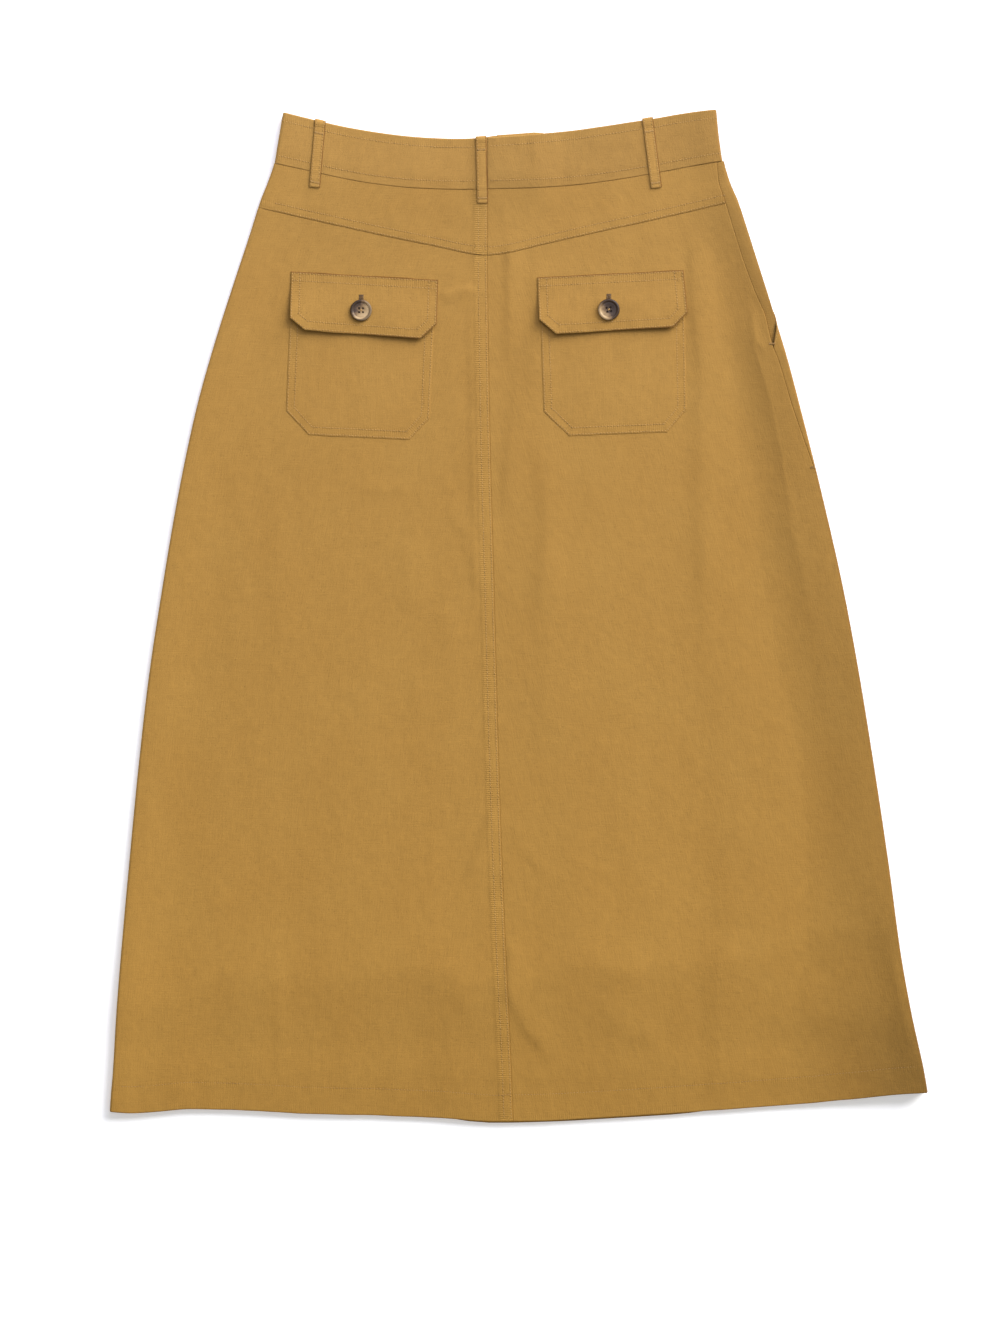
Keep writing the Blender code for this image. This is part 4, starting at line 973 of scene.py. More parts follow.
def yoke(side, word, cols):
    laid = Laid(BODY, side, line_girth(BODY, side, centre_back, side * HALF_GAP), side_edge(side, HALF_GAP),
                yoke_foot, band_foot, (cols, SIDE_COLS[side], 66), (YOKE_ROWS, TOP_ROWS, 24),
                yoke_raised, lambda x, y: CLOTH + 0.0 * y)
    rows = [(laid.from_low - 1.3, laid.x), (laid.from_low - 7.0, laid.x)]
    bands = [(0.7 * near(laid.from_low, 1.0, 2.0), laid.x), (0.8 * near(laid.from_low, 6.5, 2.6), laid.x),
             (0.6 * near(laid.from_high, 0.0, 3.0), laid.x)]
    if side < 0:
        rows += [(laid.from_start - 1.3, laid.y), (laid.from_start - 7.3, laid.y)]
        bands += [(1.2 * near(laid.from_start, 7.6, 3.4), laid.y), (0.9 * near(laid.from_start, 1.0, 1.8), laid.y)]
    fine = row_dents(rows, 50 + side, pucker=0.08)
    if side < 0:
        fine = fine + FELL_RAISE * (1 - ease(FELL_WIDTH - 1.4, FELL_WIDTH + 1.6, laid.from_start))
    obj = laid.build("twill_back_yoke_" + word, "back_yoke_" + word, twill_body, fine,
                     (0.08, 0.06, 0.12, 0.1), ribs(*bands), dark=(0.07, 0.12 * (1 - ease(4, 15, laid.from_low)), 0.14, 0.1), strip=side < 0)
    ends = (BODY.fold(side, 338.0) - side * 14, -26.2 + side * 1.2)
    x = np.linspace(min(ends), max(ends), 420)
    for n, d in enumerate((1.3, 7.0)):
        y = yoke_foot(x) + d
        sew_on("back_yoke_" + word, laid, BODY.girth(side, side * (BODY.fold(side, y) - x), y), y, 52 + n, lift=-0.02)
    if side < 0:
        for n, d in enumerate((1.3, 7.3)):
            y = np.linspace(303.5, 353.5, 120)
            g = line_girth(BODY, side, centre_back, side * HALF_GAP)(y) - d
            sew_on("back_yoke_" + word, laid, g, y, 56 + n, lift=0.12)


yoke(-1, "left", FELL_COLS)
yoke(1, "right", SEAM_COLS)


# ---------------------------------------------------------------- waistband
def front_top(x):
    inner = np.minimum(x - BAND.fold(-1, np.float64(415)), BAND.fold(1, np.float64(415)) - x)
    return top_edge(x) - 1.0 * ease(14, 40, inner) + 2.7 * ease(-40, -18, x) * (1 - ease(12, 30, x))


def band_top(x):
    """The top edge, wavering a little."""
    return top_edge(x) + 0.15 * noise1(x, 21.0, 71)


BAND_ROWS = steps((2.0, 0.4), (5.8, 1.2), (8.2, 0.4))


def waistband(side, word, name, start, end, high, cols, near_end, middle, raised, back):
    laid = Laid(BAND, side, start, end, lambda x: band_seam(x) + HALF_GAP, high,
                (cols, near_end, middle), (BAND_ROWS, BAND_ROWS, 18), raised, lambda x, y: BAND_WALL + 0.0 * y)
    rows = [(laid.from_low - 7.0, laid.x), (laid.from_high - 7.3, laid.x)]
    bands = [(0.7 * near(laid.from_low, 6.6, 2.6), laid.x), (0.7 * near(laid.from_high, 6.8, 2.8), laid.x),
             (0.6 * near(laid.from_high, 0.0, 2.5), laid.x)]
    fine = row_dents(rows, 70 + side, dent=0.03, pucker=0.08)
    fine = fine + 0.10 * noise2(laid.x, laid.y, 15, 22, 77)
    obj = laid.build("twill_" + name, name, twill_band, fine, (0.15, 0.2, 0.15, 0.7), ribs(*bands), dark=(0.12, 0.0, 0.16, 0.0),
                     tint=-0.07 if back and side > 0 else 0.0)
    g_low, g_high = laid.g.min() + 1.8, laid.g.max() - 1.8
    g = np.linspace(g_low, g_high, 500)
    y = np.full_like(g, 385.0)
    for n, (line, d) in enumerate(((lambda x: band_seam(x) + HALF_GAP, 7.0), (high, -7.3))):
        for _ in range(6):
            x = BAND.across(side, g, y, BAND_RAISE, BAND.quarter(side, y)[2])
            y = line(x) + d
        lo, hi = np.minimum(start(y), end(y)) + 1.6, np.maximum(start(y), end(y)) - 1.6
        keep = (g > lo) & (g < hi)
        sew_on(name, laid, g[keep], y[keep], 80 + n + side, lift=-0.02)
    return laid


def band_step(x, y):
    """The waistband is pressed thinner towards the seam below it."""
    return 0.34 * (1 - ease(0, 13, y - band_seam(x)))


def flat_raise(x, y, g):
    return BAND_RAISE - band_step(x, y) + 0.0 * g


SHARP = steps((2.0, 0.4), (4.4, 1.2))
for side, word in ((-1, "left"), (1, "right")):
    waistband(side, word, "back_waistband_" + word, line_girth(BAND, side, centre_back, side * HALF_GAP),
              lambda y, s=side: BAND_SIDE_SEAM[s] + HALF_GAP + 0.0 * y, band_top,
              SHARP, SIDE_COLS[side], 78, flat_raise, True)
waistband(-1, "left", "front_waistband_left", lambda y: BAND_SIDE_SEAM[-1] - HALF_GAP + 0.0 * y,
          under_girth(BAND, -1, lambda y: TAB_END + 0.0 * y), front_top, SHARP, SHARP, 84, flat_raise, False)
waistband(1, "right", "front_waistband_right", lambda y: BAND_SIDE_SEAM[1] - HALF_GAP + 0.0 * y,
          under_girth(BAND, 1, lambda y: UNDERLAP_END + 0.0 * y), front_top, SHARP, SHARP, 84,
          lambda x, y, g: BAND_RAISE - band_step(x, y) - TAB_LIFT * (1 - ease(13.5, 29.0, x)), False)


# ---------------------------------------------------------------- front panels
def front_edge(side):
    return lambda y: np.where(y <= MOUTH_FOOT, side_seam[side](y), mouth[side](y)) - HALF_GAP


front_hem_raise = hem_raise(front_hem)
for side, word in ((-1, "left"), (1, "right")):
    laid = Laid(BODY, side, under_girth(BODY, side, centre_front, side * HALF_GAP), front_edge(side),
                front_hem, band_foot, (SEAM_COLS, SIDE_COLS[side] if side > 0 else SHARP, 76),
                (HEM_ROWS, TOP_ROWS, 250), lambda x, y, g: 0.0 * g, panel_wall(front_hem))
    at_mouth = ease(MOUTH_FOOT, MOUTH_FOOT + 10, laid.y)
    rows = [(laid.from_low - 22.4, laid.x), (np.where(at_mouth > 0.5, laid.from_end - 1.4, 99), laid.y),
            (np.where(at_mouth > 0.5, laid.from_end - 7.0, 99), laid.y)]
    bands = [(0.7 * near(laid.from_low, 22.0, 3.0), laid.x), (0.6 * near(laid.from_high, 0.0, 3.0), laid.x),
             (0.8 * at_mouth * near(laid.from_end, 6.8, 2.6), laid.y), (0.8 * near(laid.from_start, 1.0, 2.2), laid.y)]
    # the underside stays on the surface: its stitching only draws the cloth inwards
    fine = np.minimum(row_dents(rows, 90 + side, dent=0.12, pucker=0.0), 0.0)
    obj = laid.build("twill_front_panel_" + word, "front_panel_" + word, twill_body, fine,
                     (0.2, 0.3, 0.5, 0.15), ribs(*bands), step=4, dark=(0.1, 0.0, 0.0, 0.1))
    x = np.linspace(min(BODY.fold(side, -395.0) - side * 22, 5.0 + side * 1.6), max(BODY.fold(side, -395.0) - side * 22, 5.0 + side * 1.6), 620)
    y = front_hem(x) + 22.4
    sew_on("front_panel_" + word, laid, -BODY.girth(side, side * (BODY.fold(side, y) - x), y), y, 95 + side, lift=-0.2)
    for n, d in enumerate((1.4, 7.0)):
        y = np.linspace(MOUTH_FOOT + 1.5, 372.0, 300)
        g = front_edge(side)(y) - d
        x = BODY.across(side, g, y, 0.0, BODY.quarter(side, y)[2])
        keep = y < band_foot(x) - 1.5
        sew_on("front_panel_" + word, laid, g[keep], y[keep], 97 + n + side, lift=-0.2)
    if side < 0:
        # the fly's curved double row
        for n, d in enumerate((0.0, 6.0)):
            t = np.linspace(0, 1, 260)
            y = 352.0 - t * 186.0
            x = -3.0 - (37.0 - d) * np.sqrt(np.clip(1 - np.clip((t - 0.66) / (0.34 - d / 186.0), 0, 1) ** 2, 0, 1))
            g = -BODY.girth(side, side * (BODY.fold(side, y) - x), y)
            sew_on("front_panel_" + word, laid, g, y, 99 + n, lift=-0.2)
    if side > 0:
        front_right = laid


# ---------------------------------------------------------------- pocket facings
def facing_end(side):
    return lambda y: mouth[side](np.maximum(y, MOUTH_FOOT)) - MOUTH_UNDER


def facing_raise(side):
    def out(x, y, g):
        shown = np.clip(side_seam[side](y) - mouth[side](np.maximum(y, MOUTH_FOOT)), 6.0, 24.0)
        near_seam = 1 - ease(0.0, shown, side_seam[side](y) - g)
        return -FACING_INSET + (FACING_INSET - 0.04) * near_seam * ease(MOUTH_FOOT + 8, MOUTH_FOOT + 40, y)
    return out


for side, word in ((-1, "left"), (1, "right")):
    laid = Laid(BODY, side, side_edge(side, -HALF_GAP), facing_end(side), lambda x: MOUTH_FOOT - 8.0 + 0.0 * x, band_foot,
                (SHARP, SHARP, 30 if side > 0 else 14), (steps((1.5, 0.5)), steps((1.5, 0.5)), 90),
                facing_raise(side), lambda x, y: CLOTH + 0.0 * y)
    seam = ribs((0.5 * near(laid.from_start, 1.0, 2.0), laid.y))
    # the tint is a painted shadow along the front panel's lip over the pocket mouth
    obj = laid.build("twill_front_pocket_facing_" + word, "front_pocket_facing_" + word, twill_facing_shaded, 0.0 * laid.y,
                     (0.15, 0.1, 0.1, 0.15), seam,
                     tint=-0.55 * np.exp(-((laid.from_end - MOUTH_UNDER - 0.8) / 1.4) ** 2) * (1 - ease(250, 262, laid.y)))


# ---------------------------------------------------------------- pockets and flaps
def on_back(x, y):
    return BODY.top(x, y)


def corner(table, columns, word, name):
    row = next(r for r in table if r[0] == name)
    return np.array([row[columns.index(word + "_x")], row[columns.index(word + "_y")]])


def edge_distance(outline, x, y):
    """Distance to the nearest side of an open outline, and the place along it."""
    best, along, run = np.full(x.shape, 1e9), np.zeros(x.shape), 0.0
    for p, q in zip(outline, outline[1:]):
        seg = q - p
        length = math.hypot(*seg)
        t = np.clip(((x - p[0]) * seg[0] + (y - p[1]) * seg[1]) / length**2, 0, 1)
        d = np.hypot(x - p[0] - t * seg[0], y - p[1] - t * seg[1])
        along = np.where(d < best, run + t * length, along)
        best = np.minimum(best, d)
        run += length
    return best, along


def cut_grid(table, columns, word, cols, rows_top, rows_side, rows_cut, wobble):
    """Points of a piece with two cut corners: rungs down its sides and then down its cut corners."""
    tl, sl, cl = (corner(table, columns, word, k + "_left") for k in ("top", "side", "cut"))
    tr, sr, cr = (corner(table, columns, word, k + "_right") for k in ("top", "side", "cut"))
    left, right = [], []
    side = (np.linalg.norm(sl - tl) + np.linalg.norm(sr - tr)) / 2
    cut = (np.linalg.norm(cl - sl) + np.linalg.norm(cr - sr)) / 2
    drops = list(rows_top) + list(np.linspace(rows_top[-1], side, rows_side + 1)[1:])
    for d in drops:
        left.append(tl + (sl - tl) * d / side)
        right.append(tr + (sr - tr) * d / side)
    falls = list(np.linspace(0, cut - 2.4, rows_cut + 1)[1:]) + [cut - 1.8, cut - 1.3, cut - 0.85, cut - 0.4, cut]
    for d in falls:
        left.append(sl + (cl - sl) * d / cut)
        right.append(sr + (cr - sr) * d / cut)
    left, right = np.array(left), np.array(right)
    span = np.linalg.norm(right - left, axis=1)[:, None]
    a, b = spread_matrix(*cols)
    f = (a + b * span) / span
    grid = left[:, None] + (right - left)[:, None] * f[..., None]
    x, y = grid[..., 0], grid[..., 1]
    # sewn edges are never quite straight
    y = y + wobble * noise1(x, 17.0, 120) * np.exp(-np.abs(y - y[0]) / 6) \
        + wobble * 0.8 * noise1(x, 23.0, 121) * np.exp(-np.abs(y - y[-1]) / 8)
    x = x + wobble * 0.8 * noise1(y, 21.0, 122) * np.exp(-np.minimum(f, 1 - f) * span / 8)
    return x, y, [tl, sl, cl, cr, sr, tr], (tl, tr)


EDGE_COLS = steps((2.2, 0.4), (5.4, 1.1), (8.4, 0.45))


def sew_over(piece, path, over, seed, **sizes):
    """A row along points (x, y) that lies on a height `over`."""
    pts = []
    for p, q in zip(path, path[1:]):
        n = max(2, int(np.linalg.norm(q - p) / 0.8))
        pts += [p + (q - p) * k / n for k in range(n)]
    pts = np.array(pts + [path[-1]])
    x, y = pts[:, 0], pts[:, 1]
    z = over(x, y)
    h = 0.6
    n = np.stack([-(over(x + h, y) - over(x - h, y)) / (2 * h), -(over(x, y + h) - over(x, y - h)) / (2 * h),
                  np.ones_like(x)], -1)
    sew(piece, np.stack([x, y, z], -1), n, seed=seed, **sizes)


def inset(outline, by):
    """The outline moved inwards; its two open ends are cut back by the same distance."""
    lines = []
    middle = np.mean(outline, axis=0)
    for p, q in zip(outline, outline[1:]):
        d = (q - p) / np.linalg.norm(q - p)
        n = np.array([-d[1], d[0]])
        if np.dot(middle - p, n) < 0:
            n = -n
        lines.append((p + n * by, d))
    pts = [lines[0][0]]
    for (p, d), (q, e) in zip(lines, lines[1:]):
        t = ((q[0] - p[0]) * e[1] - (q[1] - p[1]) * e[0]) / (d[0] * e[1] - d[1] * e[0])
        pts.append(p + d * t)
    pts.append(outline[-1] + (lines[-1][0] - outline[-2]))
    return pts


POCKET_LIE = 0.05


def pocket_press(d):
    """A pocket is pressed flat along its edges and fuller in its middle."""
    return -0.16 * (1 - ease(0, 12, d)) + 0.16 * ease(8, 36, d)


def pocket(word):
    x, y, outline, top = cut_grid(POCKET, POCKET_COLUMNS, word, (EDGE_COLS, EDGE_COLS, 66), steps((2.0, 0.5)), 66, 14, 0.3)
    d, along = edge_distance(outline, x, y)
    base = on_back(x, y) + POCKET_LIE
    fine = row_dents([(d - 1.3, along), (d - 6.9, along)], 130, dent=0.05, pucker=0.07)
    fine = fine + pocket_press(d) + 0.15 * noise2(x, y, 15, 34, 131) * ease(0, 8, d)
    outer = np.stack([x, y, base + POCKET_WALL + fine - 0.12 * rounded(d, 0.8)], -1)
    inner = np.stack([x, y, base + 0.0 * x], -1)
    seam = ribs((0.6 * near(d, 1.2, 2.0), along), (0.6 * near(d, 6.4, 2.6), along))
    # painted shade along the pocket's edges, strongest along its lower edge
    shaded_low_side = ease(0, 8, y.min() + 24.0 - y)
    seam[..., 2] = (0.02 + 0.12 * shaded_low_side) * (1 - ease(0.2, 0.9, d))
    weave = np.stack([x * 0.9995 + y * 0.03, y - x * 0.03, np.full_like(x, 0.004)], -1)
    name = "back_pocket_" + word
    shell("twill_" + name, outer, inner, weave, seam, twill_small, name)

    def over(px, py):
        return on_back(px, py) + POCKET_LIE + POCKET_WALL - 0.02 + pocket_press(edge_distance(outline, px, py)[0])

    for n, by in enumerate((1.3, 6.9)):
        sew_over(name, inset(outline, by), over, 132 + n)


def flap_form(word):
    tl, tr = corner(FLAP, FLAP_COLUMNS, word, "top_left"), corner(FLAP, FLAP_COLUMNS, word, "top_right")
    across = (tr - tl) / np.linalg.norm(tr - tl)
    width = np.linalg.norm(tr - tl)
    down = np.array([across[1], -across[0]])
    bx, by = next((x, y) for w, x, y in FLAP_BUTTONS if w == word)

    def under(x, y):
        """The flap leaves the panel at its top seam, climbs on to the pocket and lifts at its corners."""
        s = ((x - tl[0]) * across[0] + (y - tl[1]) * across[1]) / width
        d = (x - tl[0]) * down[0] + (y - tl[1]) * down[1]
        away = np.clip(np.abs(2 * s - 1), 0, 1.05)
        lift = ease(12, 52, d)
        z = on_back(x, y) + 0.02 + 0.6 * ease(8, 26, d)
        z = z + lift * (1.5 + 2.5 * away**2.2 + 0.4 * noise1(s * width, 26.0, 140))
        # the button draws it down a little
        return z - 0.45 * np.exp(-(((x - bx) / 15) ** 2 + ((y - by) / 12) ** 2)) * lift

    return under


def flap_press(d_side, d_top):
    return 0.16 * ease(2, 11, d_side) * ease(2, 11, d_top) - 0.40 * (1 - ease(0, 16, d_top))


def flap(word):
    x, y, outline, top = cut_grid(FLAP, FLAP_COLUMNS, word, (EDGE_COLS, EDGE_COLS, 92), steps((2.2, 0.4), (5.8, 1.2), (8.6, 0.45)), 24, 11, 0.35)
    d_side, along = edge_distance(outline, x, y)
    d_top, along_top = edge_distance([top[0], top[1]], x, y)
    under = flap_form(word)
    base = under(x, y)
    rows = [(d_side - 1.3, along), (d_side - 7.6, along), (d_top - 1.3, along_top), (d_top - 7.4, along_top)]
    fine = row_dents(rows, 150, dent=0.05, pucker=0.08) + flap_press(d_side, d_top)
    edge = np.maximum(0.3 * rounded(d_side, 0.9), 0.45 * rounded(d_top, 0.7))
    outer = np.stack([x, y, base + FLAP_WALL + fine - edge], -1)
    inner = np.stack([x, y, base + 0.2 * np.maximum(rounded(d_side, 1.0), 0 * d_top)], -1)
    seam = ribs((0.6 * near(d_side, 1.2, 2.2), along), (0.6 * near(d_side, 7.2, 2.8), along),
                (0.8 * near(d_top, 1.4, 2.4), along_top), (0.7 * near(d_top, 7.0, 2.6), along_top))
    # painted shade in the crevice along the flap's top edge and along its sides, darker on its right half
    seam[..., 2] = np.maximum(0.62 * (1 - ease(0.45, 1.25, d_top)), (0.10 + 0.42 * (x > x.mean())) * (1 - ease(0.3, 1.3, d_side)))
    weave = np.stack([x * 0.9995 - y * 0.02, y + x * 0.02, np.full_like(x, -0.055)], -1)
    name = "back_flap_" + word
    shell("twill_" + name, outer, inner, weave, seam, twill_small, name)

    def over(px, py):
        ds, dt = edge_distance(outline, px, py)[0], edge_distance([top[0], top[1]], px, py)[0]
        return under(px, py) + FLAP_WALL - 0.02 + flap_press(ds, dt)

    for n, by in enumerate((1.3, 7.6)):
        sew_over(name, inset(outline, by), over, 152 + n)
    down = np.array([0.0, -1.0])
    slide = (top[1] - top[0]) / np.linalg.norm(top[1] - top[0])
    for n, by in enumerate((1.3, 7.4)):
        sew_over(name, [top[0] + down * by + slide * 1.2, top[1] + down * by - slide * 1.2], over, 154 + n)
    return over


flap_over = {}
for word in ("left", "right"):
    pocket(word)
    flap_over[word] = flap(word)


# ---------------------------------------------------------------- buttonholes and buttons
def bars(piece, centres, along, over, length, radius=0.22):
    """Single threads at points (x, y), all in one direction."""
    c = np.array(centres, float)
    z = over(c[:, 0], c[:, 1])
    pts = np.stack([c[:, 0], c[:, 1], z], -1)
    t = np.tile(np.array([along[0], along[1], 0.0]), (len(c), 1))
    h = 0.8
    slope = (over(c[:, 0] + h * along[0], c[:, 1] + h * along[1]) - over(c[:, 0] - h * along[0], c[:, 1] - h * along[1])) / (2 * h)
    t[:, 2] = slope
    n = np.tile(np.array([0.0, 0.0, 1.0]), (len(c), 1))
    THREADS.setdefault(piece, []).append(capsules(pts, t, n, length, radius, sink=0.14))


def strip(name, path, width, over, material, thick=0.12, slot="twill"):
    """A thin closed strip along (x, y) points, lying on `over`."""
    p = np.array(path, float)
    d = np.gradient(p, axis=0)
    d /= np.linalg.norm(d, axis=1, keepdims=True)
    side = np.stack([-d[:, 1], d[:, 0]], -1)
    taper = np.sin(np.linspace(0.12, math.pi - 0.12, len(p)))[:, None] ** 0.4
    l, r = p + side * width / 2 * taper, p - side * width / 2 * taper
    co = []
    for q in (l, r):
        z = over(q[:, 0], q[:, 1])
        co += [np.column_stack([q, z + thick]), np.column_stack([q, z - 0.25])]
    co = np.concatenate(co)
    n = len(p)
    lt, lb, rt, rb = (np.arange(n) + k * n for k in range(4))
    quads = []
    for a, b in ((lt, rt), (rt, rb), (rb, lb), (lb, lt)):
        quads.append(np.stack([a[:-1], a[1:], b[1:], b[:-1]], -1))
    caps = np.array([[lt[0], rt[0], rb[0], lb[0]], [lt[-1], lb[-1], rb[-1], rt[-1]]])
    return add_piece(name, make_mesh(name, co, quads + [caps]), material)


# the buttonhole's slit: a dark strip painted as the shade in its opening
slit_material, slit_tree, slit_shader = node_tree("buttonhole_slit")
slit_noise = add(slit_tree, "TexNoise", {"Vector": add(slit_tree, "TexCoord").outputs["Object"], "Scale": 1500.0})
slit_ramp = add(slit_tree, "ValToRGB", {0: slit_noise.outputs["Fac"]})
slit_ramp.color_ramp.elements[0].color = (0.025, 0.012, 0.004, 1)
slit_ramp.color_ramp.elements[1].color = (0.07, 0.036, 0.011, 1)
slit_tree.links.new(slit_ramp.outputs[0], slit_shader.inputs["Base Color"])
slit_shader.inputs["Roughness"].default_value = 0.95

SLITS = []
for word, bx, by in FLAP_BUTTONS:
    over = flap_over[word]
    piece = "buttonhole_" + word
    ys = np.arange(-2.0, 11.4, 0.52)
    for side in (-1, 1):
        bars(piece, [(bx + side * 1.25, by + t) for t in ys], (1.0, 0.0), over, 1.7)
    bars(piece, [(bx, by + t) for t in (11.6, 12.1, 12.6, 13.1)], (1.0, 0.0), over, 4.4)
    bars(piece, [(bx, by + t) for t in (-2.6, -3.1)], (1.0, 0.0), over, 4.2)
    SLITS.append(strip("buttonhole_slit_" + word, [(bx, by + t) for t in np.linspace(-2.0, 11.6, 30)], 1.1, over, slit_material))


def turned_button(name, node, x, y, seat, direction, dark_way, dark_shift, tilt=(0.0, 0.0), turned=0.0):
    """A turned four-hole button: a rounded rim, a dished middle and holes cut right through."""
    radius = BUTTON_DIAMETER / 2
    profile = ((0.0, 0.0), (radius - 3.0, 0.0), (radius - 1.4, 0.12), (radius - 0.55, 0.5), (radius - 0.1, 1.05),
               (radius, 1.45), (radius - 0.18, 1.9), (radius - 0.6, 2.28), (radius - 1.15, BUTTON_WALL),
               (radius - 1.7, 2.3), (radius - 2.2, 2.02), (radius - 2.5, 1.72), (radius - 2.9, 1.58),
               (radius - 3.3, 1.62), (radius - 4.4, 1.55), (radius - 6.0, 1.42), (radius - 7.6, 1.36), (0.0, 1.34))
    sides = 72
    turn = 2 * math.pi * np.arange(sides) / sides
    co, quads = [[0.0, 0.0, profile[0][1]]], []
    for r, h in profile[1:-1]:
        co += [[r * math.cos(a), r * math.sin(a), h] for a in turn]
    co.append([0.0, 0.0, profile[-1][1]])
    co = np.array(co)
    ring = lambda k: 1 + k * sides + np.arange(sides)
    count = len(profile) - 2
    for k in range(count - 1):
        a, b = ring(k), ring(k + 1)
        quads.append(np.stack([a, np.roll(a, -1), np.roll(b, -1), b], -1))
    first, last = ring(0), ring(count - 1)
    tris = [np.stack([np.zeros(sides, int), np.roll(first, -1), first], -1),
            np.stack([last, np.roll(last, -1), np.full(sides, len(co) - 1)], -1)]
    mesh = make_mesh(name, co, quads + tris)
    body = bpy.data.objects.new(name, mesh)
    bpy.context.scene.collection.objects.link(body)
    for n in range(4):
        a = math.pi / 4 + n * math.pi / 2 + turned
        bpy.ops.mesh.primitive_cylinder_add(vertices=20, radius=BUTTON_HOLE / 2 * MM, depth=10 * MM,
                                            location=(HOLE_AT * math.cos(a) * MM, HOLE_AT * math.sin(a) * MM, 0))
        cutter = bpy.context.object
        mod = body.modifiers.new("hole", "BOOLEAN")
        mod.operation, mod.object, mod.solver = "DIFFERENCE", cutter, "EXACT"
        bpy.context.view_layer.update()
        new = bpy.data.meshes.new_from_object(body.evaluated_get(bpy.context.evaluated_depsgraph_get()))
        body.modifiers.clear()
        body.data = new
        bpy.data.objects.remove(cutter, do_unlink=True)
    mesh = body.data
    co = np.zeros(len(mesh.vertices) * 3, np.float32)
    mesh.vertices.foreach_get("co", co)
    co = co.reshape(-1, 3).astype(float) / MM
    c, s = math.cos(dark_way), math.sin(dark_way)
    u, v = co[:, 0] / radius, co[:, 1] / radius
    disc = np.stack([u * c + v * s + dark_shift * (np.hypot(u, v) < 2), -u * s + v * c, co[:, 2] / radius + direction + dark_way], -1)
    attribute = mesh.attributes.new("disc", "FLOAT_VECTOR", "POINT")
    attribute.data.foreach_set("vector", disc.astype(np.float32).ravel())
    z = seat + direction * (co[:, 2] + (co[:, 0] * tilt[0] + co[:, 1] * tilt[1]))
    placed = np.stack([co[:, 0] + x, co[:, 1] + y, z], -1) * MM
    mesh.vertices.foreach_set("co", placed.astype(np.float32).ravel())
    if direction < 0:
        mesh.flip_normals()
    mesh.materials.clear()
    mesh.materials.append(horn)
    mesh.shade_smooth()
    mesh.set_sharp_from_angle(angle=math.radians(40))
    mesh.update()
    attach(body, "root")
    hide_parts(node)
    # the threads that hold it: two crossed pairs over the middle, down into the holes
    top = seat + direction * 1.36
    pts, dirs = [], []
    for k, a in enumerate((math.pi / 4 + turned, 3 * math.pi / 4 + turned)):
        for off in (-0.2, 0.0, 0.2):
            pts.append((x - off * math.sin(a), y + off * math.cos(a), top + direction * (0.02 + 0.10 * k)))
            dirs.append((math.cos(a), math.sin(a), 0.0))
    THREADS.setdefault("buttons", []).append(
        capsules(np.array(pts), np.array(dirs), np.tile([0.0, 0.0, float(direction)], (6, 1)), 2.9, 0.10, sink=0.35))
    # the thread's shanks, deep in the holes, in the dark thread: painted shade inside the holes
    a = math.pi / 4 + np.arange(4) * math.pi / 2 + turned
    shanks = np.column_stack([x + HOLE_AT * np.cos(a), y + HOLE_AT * np.sin(a), np.full(4, seat + direction * 0.15)])
    THREADS.setdefault("button_shanks", []).append(
        capsules(shanks, np.tile([0.0, 0.0, 1.0], (4, 1)), np.tile([1.0, 0.0, 0.0], (4, 1)), 1.1, BUTTON_HOLE / 2 * 0.97, sink=0.0))
    return body


for (word, bx, by), way, shift, turned in zip(FLAP_BUTTONS, (math.radians(142), math.radians(38)), (-0.22, 0.34),
                                              (0.0, math.radians(10))):
    over = flap_over[word]
    slope_y = float(over(np.array([bx]), np.array([by + 8.0]))[0] - over(np.array([bx]), np.array([by - 8.0]))[0]) / 16
    slope_x = float(over(np.array([bx + 8.0]), np.array([by]))[0] - over(np.array([bx - 8.0]), np.array([by]))[0]) / 16
    ring = 2 * math.pi * np.arange(24) / 24
    rx, ry = 7.6 * np.cos(ring), 7.6 * np.sin(ring)
    seat = float(np.max(over(bx + rx, by + ry) - rx * slope_x - ry * slope_y)) + 0.22
    turned_button("horn_back_button_" + word, "back_button_" + word, bx, by, seat, 1, way, shift, (slope_x, slope_y), turned)
turned_button("horn_front_button", "front_button", -3.3, 379.0, BUTTON_WALL + 0.05, -1, 2.0, 0.0)


# ---------------------------------------------------------------- belt loops
def chaikin(points, times):
    for _ in range(times):
        a = points[:-1] * 0.75 + points[1:] * 0.25
        b = points[:-1] * 0.25 + points[1:] * 0.75
        mid = np.empty((len(a) * 2, points.shape[1]))
        mid[0::2], mid[1::2] = a, b
        points = np.concatenate([points[:1], mid, points[-1:]])
    return points


